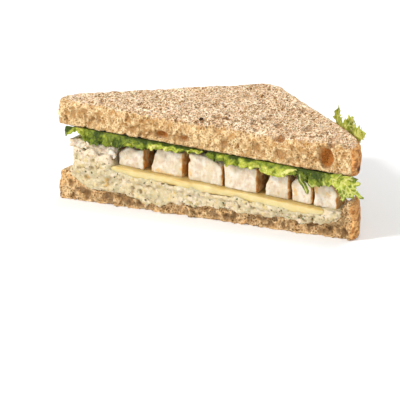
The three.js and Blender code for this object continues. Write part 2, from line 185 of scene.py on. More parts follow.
def past_crust(x, y, inset=0.0):
    """Distance beyond the crust seen from above, negative inside."""
    radius = np.where(y > np.abs(x), BACK_CORNER_RADIUS, CORNER_RADIUS)
    u = (np.abs(x + y) - HALF_DIAGONAL) / math.sqrt(2) + radius
    v = (np.abs(y - x) - HALF_DIAGONAL) / math.sqrt(2) + radius
    outside = np.hypot(np.maximum(u, 0), np.maximum(v, 0))
    return outside + np.minimum(np.maximum(u, v), 0) - radius + inset


# Meshes from fields of distance

class Grid:
    """A block of space with its sample points, low corner first."""

    def __init__(self, low, high, step):
        self.low = np.array(low, float)
        self.step = step
        counts = [int(math.ceil((b - a) / step)) + 1 for a, b in zip(low, high)]
        axes = [a + step * np.arange(n) for a, n in zip(low, counts)]
        self.axes = np.ix_(*(axis.astype(np.float32) for axis in axes))
        self.shape = tuple(counts)

    def part(self, centre, reach):
        """Slices round a centre, or None when they are off the grid."""
        cuts = []
        for axis in range(3):
            first = int(math.floor((centre[axis] - reach - self.low[axis]) / self.step))
            last = int(math.ceil((centre[axis] + reach - self.low[axis]) / self.step)) + 1
            first, last = max(first, 0), min(last, self.shape[axis])
            if first >= last:
                return None
            cuts.append(slice(first, last))
        return tuple(cuts)

    def offsets(self, cuts, centre):
        """How far the sample points of a part are from a centre along each axis."""
        x, y, z = self.axes
        return x[cuts[0]] - centre[0], y[:, cuts[1]] - centre[1], z[:, :, cuts[2]] - centre[2]


def stamp(field, grid, centre, radii, turn, width, add=False):
    """Cuts an ellipsoid out of a field, or adds it, with a soft edge."""
    cuts = grid.part(centre, max(radii) + 3 * grid.step)
    if cuts is None:
        return
    dx, dy, dz = grid.offsets(cuts, centre)
    scaled = [(row[0] * dx + row[1] * dy + row[2] * dz) / radius for row, radius in zip(turn, radii)]
    distance = (np.sqrt(sum(value * value for value in scaled)) - 1) * min(radii)
    if add:
        field[cuts] = -smooth_max(-field[cuts], -distance, width)
    else:
        field[cuts] = smooth_max(field[cuts], -distance, width)


def turned(yaw, pitch=0.0, roll=0.0):
    """Rows are an ellipsoid's own axes."""
    axes = np.eye(3)
    for angle, a, b in ((roll, 1, 2), (pitch, 0, 2), (yaw, 0, 1)):
        turn = np.eye(3)
        turn[a, a] = turn[b, b] = math.cos(angle)
        turn[a, b] = math.sin(angle)
        turn[b, a] = -turn[a, b]
        axes = axes @ turn
    return axes


def skin(field, grid):
    """Points and four-sided faces of the surface where a field is zero (inside is negative)."""
    inside = field < 0
    cells = tuple(n - 1 for n in grid.shape)
    size = math.prod(cells)
    sums = np.zeros((3, size))
    count = np.zeros(size)
    faces = []
    for axis in range(3):
        u, v = (axis + 1) % 3, (axis + 2) % 3
        low, high = [slice(1, -1)] * 3, [slice(1, -1)] * 3
        low[axis] = slice(0, -1)
        high[axis] = slice(1, None)
        start = np.stack(np.nonzero(inside[tuple(low)] != inside[tuple(high)]), 1)
        start[:, [u, v]] += 1
        end = start.copy()
        end[:, axis] += 1
        before, after = field[tuple(start.T)], field[tuple(end.T)]
        crossing = start.astype(float)
        crossing[:, axis] += before / (before - after)
        round_edge = []
        for du, dv in ((-1, -1), (0, -1), (0, 0), (-1, 0)):
            cell = start.copy()
            cell[:, u] += du
            cell[:, v] += dv
            flat = np.ravel_multi_index(tuple(cell.T), cells)
            round_edge.append(flat)
            count += np.bincount(flat, minlength=size)
            for k in range(3):
                sums[k] += np.bincount(flat, weights=crossing[:, k], minlength=size)
        quads = np.stack(round_edge, 1)
        inward = before >= 0
        quads[inward] = quads[inward][:, ::-1]
        faces.append(quads)
    used = np.nonzero(count)[0]
    number = np.full(size, -1)
    number[used] = np.arange(len(used))
    points = (sums[:, used] / count[used]).T * grid.step + grid.low
    return points, number[np.concatenate(faces)]


def eased_skin(field, grid, share, passes=1):
    """A field's skin, its points moved by a share towards the middle of their neighbours."""
    points, faces = skin(field, grid)
    for _ in range(passes):
        total = np.zeros_like(points)
        count = np.zeros(len(points))
        for a in range(4):
            for one, two in ((a, (a + 1) % 4), ((a + 1) % 4, a)):
                count += np.bincount(faces[:, one], minlength=len(points))
                for k in range(3):
                    weights = points[faces[:, two], k]
                    total[:, k] += np.bincount(faces[:, one], weights=weights, minlength=len(points))
        points = points + share * (total / count[:, None] - points)
    return points, faces


def sample(values, grid, points):
    """A field's values at points, by linear steps between samples."""
    place = (points - grid.low) / grid.step
    low = np.clip(np.floor(place).astype(int), 0, np.array(grid.shape) - 2)
    share = place - low
    total = 0
    for corner in CORNERS:
        weight = np.prod(np.abs(1 - np.array(corner) - share), axis=1)
        total = total + weight * values[tuple((low + corner).T)]
    return total


def vertex_normals(points, faces):
    """Outward directions at the points of four-sided faces."""
    a, b, c, d = (points[faces[:, corner]] for corner in range(4))
    normal = np.cross(c - a, d - b)
    total = np.zeros_like(points)
    for k in range(3):
        for corner in range(4):
            total[:, k] += np.bincount(faces[:, corner], weights=normal[:, k], minlength=len(points))
    return total / np.maximum(np.linalg.norm(total, axis=1, keepdims=True), 1e-9)


def add_object(name, data):
    obj = bpy.data.objects.new(name, data)
    bpy.context.collection.objects.link(obj)
    return obj


def piece(name, points, faces, material, slot, replaces, **attributes):
    """A visible piece from design points, with one number per point for each attribute."""
    mesh = bpy.data.meshes.new(name)
    mesh.from_pydata(to_frame(points).tolist(), [], faces.tolist(), shade_flat=False)
    for key, values in attributes.items():
        layer = mesh.attributes.new(key, "FLOAT", "POINT")
        layer.data.foreach_set("value", np.asarray(values, np.float32))
    mesh.materials.append(material)
    obj = add_object(name, mesh)
    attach(obj, "root")
    if replaces:
        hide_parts(*replaces)


# Materials

def srgb(red, green, blue):
    """A colour given as the eye sees it, 0 to 255, in the renderer's linear numbers."""
    shares = (red / 255, green / 255, blue / 255)
    linear = [s / 12.92 if s <= 0.04045 else ((s + 0.055) / 1.055) ** 2.4 for s in shares]
    return (*linear, 1)


class Shader:
    """A Principled material under construction.

    Its sizes are in millimetres, and its colours are as the eye sees them, 0 to 255.
    """

    def __init__(self, name, roughness, specular=0.5, scatter=0.0, scatter_reach=None):
        self.material = bpy.data.materials.new(name)
        self.material.use_nodes = True
        self.tree = self.material.node_tree
        self.principled = self.tree.nodes["Principled BSDF"]
        inputs = self.principled.inputs
        inputs["Roughness"].default_value = roughness
        inputs["Specular IOR Level"].default_value = specular
        if scatter:
            inputs["Subsurface Weight"].default_value = scatter
            inputs["Subsurface Radius"].default_value = [MM * reach for reach in scatter_reach]
            inputs["Subsurface Scale"].default_value = 1.0

    def node(self, kind, inputs, output, **settings):
        """An output of a new node, with each of its inputs linked or set."""
        made = self.tree.nodes.new(kind)
        for key, value in settings.items():
            setattr(made, key, value)
        for key, value in inputs.items():
            if isinstance(value, bpy.types.NodeSocket):
                self.tree.links.new(value, made.inputs[key])
            else:
                made.inputs[key].default_value = value
        return made.outputs[output]

    def attribute(self, name):
        return self.node("ShaderNodeAttribute", {}, "Fac", attribute_name=name)

    def position(self, stretch):
        coordinates = self.node("ShaderNodeTexCoord", {}, "Object")
        return self.node("ShaderNodeMapping", {"Scale": stretch, "Vector": coordinates}, "Vector")

    def noise(self, size, detail=3.0, roughness=0.55, stretch=(1, 1, 1), distortion=0.0):
        inputs = {
            "Vector": self.position(stretch), "Scale": 1 / (size * MM), "Detail": detail,
            "Roughness": roughness, "Distortion": distortion,
        }
        return self.node("ShaderNodeTexNoise", inputs, "Fac")

    def cells(self, size, stretch=(1, 1, 1), feature="F1", wander=0.0):
        """The distance from the middles or edges of cells, whose walls wander."""
        scale = 1 / (size * MM)
        place = self.position(stretch)
        if wander:
            drift = self.node("ShaderNodeTexNoise", {"Vector": place, "Scale": scale}, "Color")
            reach = (wander * MM,) * 3
            inputs = {0: drift, 1: reach, 2: place}
            place = self.node("ShaderNodeVectorMath", inputs, "Vector", operation="MULTIPLY_ADD")
        inputs = {"Vector": place, "Scale": scale}
        return self.node("ShaderNodeTexVoronoi", inputs, "Distance", feature=feature)

    def ramp(self, value, low, high, start=0.0, end=1.0):
        inputs = {"Value": value, "From Min": low, "From Max": high, "To Min": start, "To Max": end}
        return self.node("ShaderNodeMapRange", inputs, "Result", interpolation_type="SMOOTHSTEP")

    def patches(self, size, detail, low, high, start=0.0, end=1.0, **shape):
        """Noise as values from `start`, where it is `low`, to `end`, where it is `high`."""
        return self.ramp(self.noise(size, detail, **shape), low, high, start, end)

    def math(self, operation, a, b):
        return self.node("ShaderNodeMath", {0: a, 1: b}, 0, operation=operation)

    def times(self, product, *others):
        for value in others:
            product = self.math("MULTIPLY", product, value)
        return product

    def larger(self, a, b):
        return self.math("MAXIMUM", a, b)

    def mix(self, share, a, b):
        a, b = (srgb(*value) if isinstance(value, tuple) else value for value in (a, b))
        return self.node("ShaderNodeMix", {0: share, 6: a, 7: b}, 2, data_type="RGBA")

    def layered(self, colour, *layers):
        """A colour with others over it, each given as its share and itself."""
        for share, over in layers:
            colour = self.mix(share, colour, over)
        return colour

    def bump(self, height, depth, under=None):
        """Relief of a depth, over the relief under it."""
        inputs = {"Distance": depth * MM, "Height": height}
        if under is not None:
            inputs["Normal"] = under
        return self.node("ShaderNodeBump", inputs, "Normal")

    def finish(self, colour, normal=None):
        self.tree.links.new(colour, self.principled.inputs["Base Color"])
        if normal is not None:
            self.tree.links.new(normal, self.principled.inputs["Normal"])
        return self.material


# Camera and light

CAMERA_AZIMUTH = math.radians(24.258)
CAMERA_ELEVATION = math.radians(18.958)
CAMERA_DISTANCE = 1500.0
LENS_MM = 286.94
AIM = (-3.0, 8.3)  # how far right of the axis through the cut's middle, and how high
LIT_POINT = (0, 0, 0.02)
LIGHTS = {  # place, size and power
    "key": ((-1.5, -1.5, 1.6), 0.6, 60),
    "fill": ((1.4, -2.0, 0.6), 1.8, 23),
    "top": ((0.1, 0.45, 1.1), 0.6, 6),
}
SKY_COLOUR = (1.0, 0.995, 0.985, 1)
SKY_STRENGTH = 0.46
FLOOR_COLOUR = (0.93, 0.93, 0.93, 1)
FLOOR_REACH = 6.0


def add_camera():
    back = np.array([
        math.sin(CAMERA_AZIMUTH) * math.cos(CAMERA_ELEVATION),
        -math.cos(CAMERA_AZIMUTH) * math.cos(CAMERA_ELEVATION),
        math.sin(CAMERA_ELEVATION),
    ])
    right = np.array([math.cos(CAMERA_AZIMUTH), math.sin(CAMERA_AZIMUTH), 0])
    aim = right * AIM[0] + np.array([0, 0, AIM[1]])
    data = bpy.data.cameras.new("camera")
    data.lens = LENS_MM
    data.sensor_width = 36
    data.clip_end = 20
    obj = add_object("camera", data)
    obj.location = to_frame(aim + back * CAMERA_DISTANCE)
    obj.rotation_euler = (math.pi / 2 - CAMERA_ELEVATION, 0, CAMERA_AZIMUTH)
    bpy.context.scene.camera = obj


def add_light(name, place, size, power):
    data = bpy.data.lights.new(name, "AREA")
    data.shape = "DISK"
    data.size = size
    data.energy = power
    obj = add_object(name, data)
    obj.location = place
    x, y, z = np.array(LIT_POINT) - np.array(place)
    tilt = math.pi / 2 + math.atan2(z, math.hypot(x, y))
    obj.rotation_euler = (tilt, 0, math.atan2(y, x) - math.pi / 2)


def add_studio():
    scene = bpy.context.scene
    scene.world = bpy.data.worlds.new("studio")
    scene.world.use_nodes = True
    background = scene.world.node_tree.nodes["Background"]
    background.inputs["Color"].default_value = SKY_COLOUR
    background.inputs["Strength"].default_value = SKY_STRENGTH
    for name, (place, size, power) in LIGHTS.items():
        add_light(name, place, size, power)
    scene.view_settings.view_transform = "Standard"
    scene.view_settings.look = "None"

    floor = bpy.data.meshes.new("floor")
    corners = [(x * FLOOR_REACH, y * FLOOR_REACH, 0) for x, y in ((-1, -1), (1, -1), (1, 1), (-1, 1))]
    floor.from_pydata(corners, [], [(0, 1, 2, 3)])
    shader = Shader("floor_white", roughness=0.9, specular=0.1)
    shader.principled.inputs["Base Color"].default_value = FLOOR_COLOUR
    floor.materials.append(shader.material)
    add_object("floor", floor)


# Bread

# How softly each kind of edge is rounded, in millimetres.
PORE_EDGE = 0.35
CUT_POCKET_EDGE = 0.7
TOP_POCKET_EDGE = 0.4
CRUST_EDGE = 2.0
UNDER_EDGE = 0.9

CRUST_BULGE = 0.6
WHOLE_SLICE = ((-76, -4), (76, 78))
OPEN_END = ((5, -4), (76, 60))
WHOLE_CUT = (-76, 76)


def bread_material(name, top, cut_face, golden, crust_shades, hole_shade, deep_hole_shade, flaky):
    """Foam of crumb with a baked crust, its relief painted with light and shade.

    The paler cell walls and the raised flakes of the cut carry a painted highlight; the darker
    crumb between them, the open holes and the air pockets, darker with depth, carry a painted
    shade, and a painted shadow runs along the crust's inner edge. `top` and `cut_face` each give
    the colours of the walls and between them, and `flaky` how far the knife tore the crumb into
    flakes instead of opening it.
    """
    shader = Shader(name, 0.88, 0.2, 0.2, (1.2, 0.7, 0.4))
    crust, depth, cut, warm, scorch = map(shader.attribute, ("crust", "pit", "cut", "warm", "scorch"))
    longer = (1, 0.6, 1)
    foam = shader.cells(1.3, longer, "DISTANCE_TO_EDGE", 1.3)
    coarse = shader.cells(2.6, longer, "DISTANCE_TO_EDGE", 2.4)
    fine = shader.noise(0.6, 2, 0.6, longer)
    torn = shader.noise(2.1, 4, 0.62, (1, 1, 0.75), 0.8)
    open_crumb = shader.patches(3.4, 3, 0.4, 0.62, stretch=longer)
    torn_cut = shader.times(cut, flaky)
    skin_deep = shader.ramp(depth, 2.0, 0.8)

    # Masks where painted shade goes: the crumb's cells, the hollows between torn flakes and the open
    # holes.
    wide = shader.times(shader.ramp(coarse, 0.16, 0.34), open_crumb)
    between = shader.times(shader.ramp(foam, 0.02, 0.2), shader.ramp(fine, 0.3, 0.6, 0.4, 1.0))
    between = shader.larger(between, wide)
    flakes = shader.larger(shader.times(between, 0.55), shader.ramp(torn, 0.42, 0.64))
    between = shader.times(shader.mix(torn_cut, between, flakes), skin_deep)
    shaded_holes = shader.times(shader.ramp(foam, 0.2, 0.36), shader.ramp(open_crumb, 0, 1, 0.3, 1))
    shaded_holes = shader.larger(shaded_holes, shader.times(shader.ramp(coarse, 0.34, 0.46), open_crumb))
    shaded_holes = shader.times(shaded_holes, shader.ramp(torn_cut, 0, 1, 1, 0.8), skin_deep)

    # The walls' colour is a painted highlight, and the crumb between them carries a painted shade.
    walls = shader.mix(cut, top[0], cut_face[0])
    crumb = shader.mix(warm, shader.mix(cut, top[1], cut_face[1]), golden)
    shell = shader.layered(
        shader.mix(shader.patches(3.0, 4, 0.36, 0.68, stretch=(1, 1, 2.2)), *crust_shades),
        (shader.patches(14.0, 2, 0.42, 0.6, 0.35, 0), crust_shades[1]),
        (shader.ramp(fine, 0.5, 0.8, 0, 0.35), top[0]),
    )
    colour = shader.layered(
        shader.mix(between, walls, crumb),
        (shader.patches(6.0, 3, 0.36, 0.6, 0.4, 0), crumb),
        (shader.times(shader.patches(2.4, 4, 0.46, 0.64, 0, 0.7, roughness=0.65), cut), golden),
        # painted highlight on the raised flakes of the cut
        (shader.times(shader.ramp(torn, 0.47, 0.33, 0, 0.75), torn_cut), (246, 216, 164)),
        # painted shade in the open holes, darker the deeper the pit or air pocket
        (shaded_holes, hole_shade),
        (shader.ramp(depth, 0.4, 1.5, 0, 0.7), hole_shade),
        (shader.ramp(depth, 1.2, 3.0, 0, 0.85), deep_hole_shade),
        # painted shadow along the crust's inner edge
        (shader.times(shader.ramp(crust, 0.1, 0.4), shader.ramp(torn, 0.35, 0.6, 0, 0.6)), deep_hole_shade),
        (shader.ramp(crust, 0.3, 0.8), shell),
        (scorch, (74, 36, 16)),
    )
    relief = shader.math("SUBTRACT", shader.ramp(foam, 0.3, 0.0), shader.math("ADD", shaded_holes, wide))
    flake_relief = shader.math("SUBTRACT", shader.ramp(torn, 0.75, 0.25, 0, 1.3), shaded_holes)
    normal = shader.bump(shader.mix(torn_cut, relief, flake_relief), 0.5)
    return shader.finish(colour, shader.bump(fine, 0.4, normal))


def pore_radius(random, radius):
    """Between a least and a largest radius, and mostly small."""
    return radius[0] + (radius[1] - radius[0]) * random.random() ** 2.2


def pores(field, grid, random, count, area, surface_z, radius, depth_shift, squash):
    """Small air pockets opened by a nearly level face."""
    low, high = area
    for _ in range(count):
        x = random.uniform(low[0], high[0])
        y = random.uniform(low[1], high[1])
        if past_crust(x, y) > -2.6 or y < FRONT + 0.4:
            random.random(6)  # so that a pore left out doesn't move the next ones
            continue
        r = pore_radius(random, radius)
        stretch = random.uniform(0.75, 1.6)
        z = float(surface_z(x, y)) + r * random.uniform(-0.5, depth_shift)
        turn = turned(random.uniform(0, math.pi), random.normal(0, 0.25), random.normal(0, 0.25))
        stamp(field, grid, (x, y, z), (r * stretch, r / stretch, r * squash), turn, PORE_EDGE)


def cut_pores(field, grid, random, bottom, top, floor, count, span, radius, tall):
    """Small air pockets opened by the knife cut, from a floor over the slice's bottom upwards."""
    for _ in range(count):
        x = random.uniform(*span)
        share = random.random()
        r = pore_radius(random, radius)
        low, high = bottom(x, FRONT) + floor, top(x, FRONT) + 0.3
        z = float(low + share * (high - low))
        y = FRONT + r * random.uniform(-0.35, 0.5)
        if past_crust(x, y) > -2.2:
            random.random(3)  # so that a pore left out doesn't move the next ones
            continue
        stretch = random.uniform(0.8, tall)
        turn = turned(random.normal(0, 0.3), random.uniform(-0.7, 0.7))
        stamp(field, grid, (x, y, z), (r / stretch, r * 0.9, r * stretch), turn, PORE_EDGE)


def slice_field(grid, bottom, top, tear, seed):
    """A slice of bread: rounded at the crust, sharp and a little torn at the knife cut."""
    x, y, z = grid.axes
    wander = 0.9 * noise(x, y, z, 22, seed) + 0.35 * noise(x, y, z, 6, seed + 3)
    outline = past_crust(x, y) - 0.3 + wander * 0.5 + 0.3 * noise(x, y, z, 2.2, seed + 4)
    middle = (bottom + top) / 2
    half = np.maximum((top - bottom) / 2, 1)
    outline = outline - CRUST_BULGE * (1 - ((z - middle) / half) ** 2)
    level = 0.35 * noise(x, y, 0 * z, 9, seed + 5) + 0.25 * noise(x, y, z, 2.6, seed + 6)
    level = level + 0.3 * noise(x, y, z, 1.5, seed + 7)
    crusted = smooth_max(smooth_max(outline, z - top + level, CRUST_EDGE), bottom - z, UNDER_EDGE)
    torn = tear * rough(x, y, z, 3.0, 3, seed + 8) + 0.3 * noise(x, 0 * y, z, 14, seed + 9)
    rounding = 0.6 + 1.8 * smoothstep((z - middle) / half, 0.0, 0.9)
    return smooth_max(crusted, (FRONT - y) + torn, rounding).astype(np.float32), outline


# Large air pockets of the upper slice, read off the cut and the top face.
UPPER_CUT_POCKETS = [
    ((61.8, 38.2), (3.5, 4.8, 5.0)), ((59.6, 41.4), (3.0, 2.2, 3.4)), ((-22, 38.6), (3.4, 3.6, 1.9)),
    ((-19.6, 38.1), (1.7, 2.4, 1.3)), ((-10, 38.2), (2.6, 2.8, 1.5)), ((10.5, 38.2), (1.7, 1.8, 2.6)),
    ((26, 38.4), (1.4, 1.5, 1.5)), ((38.5, 37.2), (3.3, 2, 2.1)), ((-36, 39.2), (1.8, 1.4, 1.7)),
    ((-55, 43.5), (1.9, 1.3, 1.3)), ((-62, 45), (1.7, 1.2, 1.1)), ((-49, 41.5), (1.3, 1.1, 2)),
    ((64.5, 36.2), (1.2, 1, 2.2)), ((48, 36.8), (1.2, 1.1, 1.7)), ((-68, 43), (1.1, 1.2, 2.4)),
]
UPPER_TOP_POCKETS = [
    ((22.7, 20.1), (2.8, 4.2, 2.4)), ((19.5, 13.4), (2.1, 3.1, 1.9)), ((32.4, 11.6), (2.9, 3.7, 2.2)),
    ((37.8, -1.2), (2.6, 2.5, 2.1)), ((45.8, 11.7), (2.5, 3.3, 1.9)), ((1.7, 9), (2.5, 2.9, 1.8)),
    ((53.4, 11), (2.0, 3.0, 1.7)), ((38.4, 7.2), (1.8, 2.2, 1.8)), ((44, 1.6), (1.7, 2.3, 1.6)),
    ((-24, 30), (1.9, 2.6, 1.4)), ((-2, 52), (2.0, 2.6, 1.5)), ((24.5, 2.2), (1.8, 2.0, 1.4)),
    ((52, 3.4), (1.8, 2.2, 1.4)), ((62, 3.8), (1.6, 2.6, 1.5)), ((13.6, 16.8), (1.3, 2.0, 1.4)),
    ((41, 17), (1.5, 2.2, 1.2)), ((66.5, 1.5), (1.4, 2.2, 1.5)), ((-38, 8), (1.6, 2.2, 1.2)),
    ((-55, 3), (1.3, 1.8, 1.1)), ((8, 36), (1.6, 2.6, 1.3)), ((-12, 18), (1.4, 2, 1.1)),
]


# Each slice's block of space, pores and scorched places. A row of pores has their count, where
# they lie, their least and largest radius, and on a level face how far up they go and how tall
# they are for their width. A scorched place has its middle, its size and how dark it is.
UPPER_SLICE = {
    "name": "upper_slice", "node": "bread_upper", "bottom": under_upper_slice, "top": top_of_upper_slice,
    "block": ((-79, -7, 26.5), (79, 82, 52.5)), "step": 0.56, "tear": 0.55, "seed": 11,
    "pore_seed": 21, "cut_floor": 1.6,
    "pores": [
        (60, OPEN_END, top_of_upper_slice, (1.0, 1.9), -0.1, 1.0),
        (300, WHOLE_SLICE, top_of_upper_slice, (0.7, 1.2), -0.1, 0.8),
        (3400, WHOLE_SLICE, top_of_upper_slice, (0.5, 0.85), 0.1, 1.3),
        (500, WHOLE_SLICE, under_upper_slice, (0.7, 1.3), 0.2, 0.8),
    ],
    "cut_pores": [(200, WHOLE_CUT, (0.8, 1.4), 1.7), (1500, WHOLE_CUT, (0.45, 0.85), 1.6)],
    "cut_pockets": UPPER_CUT_POCKETS, "top_pockets": UPPER_TOP_POCKETS,
    "scorched": [((76.5, 1, 33.6), (2.4, 3, 1.7), 0.9), ((77, 2, 42.5), (2, 2.4, 1.2), 0.45)],
}
LOWER_SLICE = {
    "name": "lower_slice", "node": "bread_lower", "bottom": table, "top": top_of_lower_slice,
    "block": ((-79, -7.5, -1.5), (79, 82, 20.5)), "step": 0.54, "tear": 1.2, "seed": 31,
    "pore_seed": 23, "cut_floor": 0.4,
    "pores": [
        (1100, WHOLE_SLICE, table, (0.5, 1.3), -0.1, 0.8),
        (500, WHOLE_SLICE, top_of_lower_slice, (0.7, 1.5), 0.2, 0.8),
    ],
    "cut_pores": [
        (320, WHOLE_CUT, (0.8, 1.7), 1.3), (2400, WHOLE_CUT, (0.4, 0.8), 1.3),
        (46, (56, 75), (1.0, 2.0), 1.6),
    ],
    "cut_pockets": [], "top_pockets": [],
    "scorched": [((76.5, 2, 10), (2, 4, 1.5), 0.4)],
}


def add_slice(spec, golden_above, material):
    """A slice with its air pockets, browned on the cut above a height and scorched in places."""
    bottom, top = spec["bottom"], spec["top"]
    grid = Grid(*spec["block"], chosen_step(spec["step"]))
    x, y, _ = grid.axes
    field, outline = slice_field(grid, bottom(x, y), top(x, y), spec["tear"], spec["seed"])
    plain = field.copy()
    random = np.random.default_rng(spec["pore_seed"])
    for row in spec["pores"]:
        pores(field, grid, random, *row)
    for row in spec["cut_pores"]:
        cut_pores(field, grid, random, bottom, top, spec["cut_floor"], *row)
    for (px, pz), radii in spec["cut_pockets"]:
        stamp(field, grid, (px, FRONT, pz), radii, turned(0), CUT_POCKET_EDGE)
    for (px, py), radii in spec["top_pockets"]:
        stamp(field, grid, (px, py, float(top(px, py))), radii, turned(0.3), TOP_POCKET_EDGE)

    points, faces = eased_skin(field, grid, 0.3)
    x, y, z = points.T
    # How deep each point lies in a pore or pocket, which the material darkens as painted shade.
    pit = -sample(plain, grid, points)
    crust = 1 - smoothstep(-sample(outline, grid, points), 0.4, 1.9)
    crust *= 1 - smoothstep(pit, 0.5, 1.2)
    crust *= 1 - 0.75 * smoothstep(-x, 58, 66) * smoothstep(-y, -12, 0)
    normals = vertex_normals(points, faces)
    cut = smoothstep(-normals[:, 1], 0.2, 0.6) * smoothstep(FRONT + 3.5 - y, 0, 1.5)
    warm = smoothstep(z + 2.4 * noise(x, y, z, 5, 41) - golden_above(x), -2, 2) * cut
    scorch = np.zeros(len(points))
    for place, size, most in spec["scorched"]:
        away = np.linalg.norm((points - place) / size, axis=1)
        scorch = np.maximum(scorch, most * (1 - smoothstep(away, 0.4, 1.1)))
    fine = 0.14 * rough(x, y, z, 1.0, 2, 40)
    points = points + normals * fine[:, None] * (1 - 0.6 * crust[:, None])
    piece(
        spec["name"], points, faces, material, "bread", [spec["node"]],
        crust=crust, pit=pit, cut=cut, warm=warm, scorch=scorch * crust,
    )


# The heights above which the cut face is browner, at an x.

def golden_on_upper(at):
    return under_upper_slice(at, FRONT) + 6.5


def golden_on_lower(at):
    return 30 - 24 * smoothstep(-at, 56, 62)


def add_seed():
    """The dark seed baked into the top face."""
    grid = Grid((-6.2, 0.2, 45), (-1.8, 6, 50), 0.2)
    field = np.full(grid.shape, 1.0, np.float32)
    place = (-4.1, 3.1, float(top_of_upper_slice(-4.1, 3.1)) - 0.15)
    stamp(field, grid, place, (1.5, 0.85, 0.55), turned(1.4), 0.2, add=True)
    points, faces = skin(field, grid)
    shader = Shader("seed_look", 0.8, 0.1)
    material = shader.finish(shader.mix(shader.patches(0.7, 2, 0.35, 0.65), (36, 24, 16), (70, 48, 30)))
    piece("seed", points, faces, material, "bread", [])


# Spread

SPREAD_INSET = 4.6  # how far inside the crust it ends
SPREAD_REACH = 3.9  # how far out of the cut it may come
LUMPS = 3400
HEAPED_LEFT = -46
HEAPED_RIGHT = 56

# How far down the spread is smeared over the lower slice's cut.
SMEAR = [
    (-72, 16), (-66, 14), (-62, 12.8), (-58, 11.4), (-56, 9), (-50, 7.4), (-40, 6.6), (-33, 5.5),
    (-30, 2.6), (-27, 4.4), (-21, 4.2), (-18, 5.6), (-10, 5.9), (0, 6.8), (10, 7.1), (22, 6.4),
    (40, 7), (50, 6.2), (56, 5.6), (61, 7.4), (66, 10),
]


def past_cheese_ends(x, y):
    """Distance beyond the halved cheese slice's two uncut sides, seen from above."""
    middle = (CHEESE_ENDS[0] + CHEESE_ENDS[1]) / 2
    reach = (CHEESE_ENDS[1] - CHEESE_ENDS[0]) / 2
    return (np.abs(x - middle) + (y - CHEESE_FRONT) - reach) / math.sqrt(2)


def top_of_spread(x, y):
    """Heaped up past the cheese's ends, a bed under it, and smeared up over its lower edge."""
    heap = 3.3 * smoothstep(-x, 44.5, 48) + 2 * smoothstep(-x, 59, 63.5) + 0.8 * smoothstep(x, 60, 63)
    heaped = cheese_top(x, y) + heap * (1 - smoothstep(y, 8, 26)) - 0.25
    before_dice = smoothstep(-x, 45.5, 48) * smoothstep(FRONT - 0.6 - y, 0, 0.4)
    heaped = heaped + (1.5 + 1.7 * noise_along(x, 2.8, 59)) * before_dice
    bed = cheese_top(x, y) - CHEESE_THICKNESS - 0.2
    lip = 1.4 + 0.9 * noise_along(x, 2.8, 60)
    bed = bed + lip * smoothstep(CHEESE_FRONT + 0.7 - y, 0, 0.4)
    return bed + (heaped - bed) * smoothstep(past_cheese_ends(x, y), -1.6, -0.8)


def spread_out(x, z, top):
    """How far the spread stands out of the cut; heaped up, its top leans back to the dice."""
    out = 0.9 + 1.7 * smoothstep(z - cheese_top(x, FRONT), -7.5, -4.2)
    return out - 1.5 * smoothstep(z - top, -3.2, 0) * smoothstep(-x, 44, 48)


def spread_material():
    shader = Shader("chicken_spread_look", 0.5, 0.35, 0.35, (3, 2, 1.2))
    tint, depth = shader.attribute("tint"), shader.attribute("pit")
    cream, grey, amber, dark = (205, 188, 150), (190, 177, 140), (190, 148, 78), (148, 118, 64)
    contrast = shader.patches(15.0, 2, 0.42, 0.58, 0.35, 1.0)
    herbs = shader.times(shader.ramp(shader.cells(2.6), 0.13, 0.07), shader.patches(7.0, 1, 0.48, 0.58))
    colour = shader.layered(
        shader.mix(shader.patches(5.0, 2, 0.4, 0.62), cream, grey),
        (shader.patches(1.3, 3, 0.5, 0.75, 0, 0.6), (232, 222, 204)),
        (shader.patches(2.9, 2, 0.58, 0.68, 0, 0.6), (206, 182, 112)),
        (shader.ramp(tint, 0.2, 1.0, 0, 0.6), (232, 212, 190)),
        (shader.ramp(tint, -0.2, -1.0), amber),
        (shader.patches(2.0, 3, 0.66, 0.76, 0, 0.55), amber),
        (shader.times(shader.patches(1.7, 4, 0.52, 0.68, roughness=0.65), contrast), dark),
        # painted shade, darker the deeper the gap between shreds
        (shader.ramp(depth, 0.2, 1.2, 0, 0.8), dark),
        (herbs, (104, 104, 52)),
    )
    return shader.finish(colour, shader.bump(shader.noise(1.1, 4), 0.6))


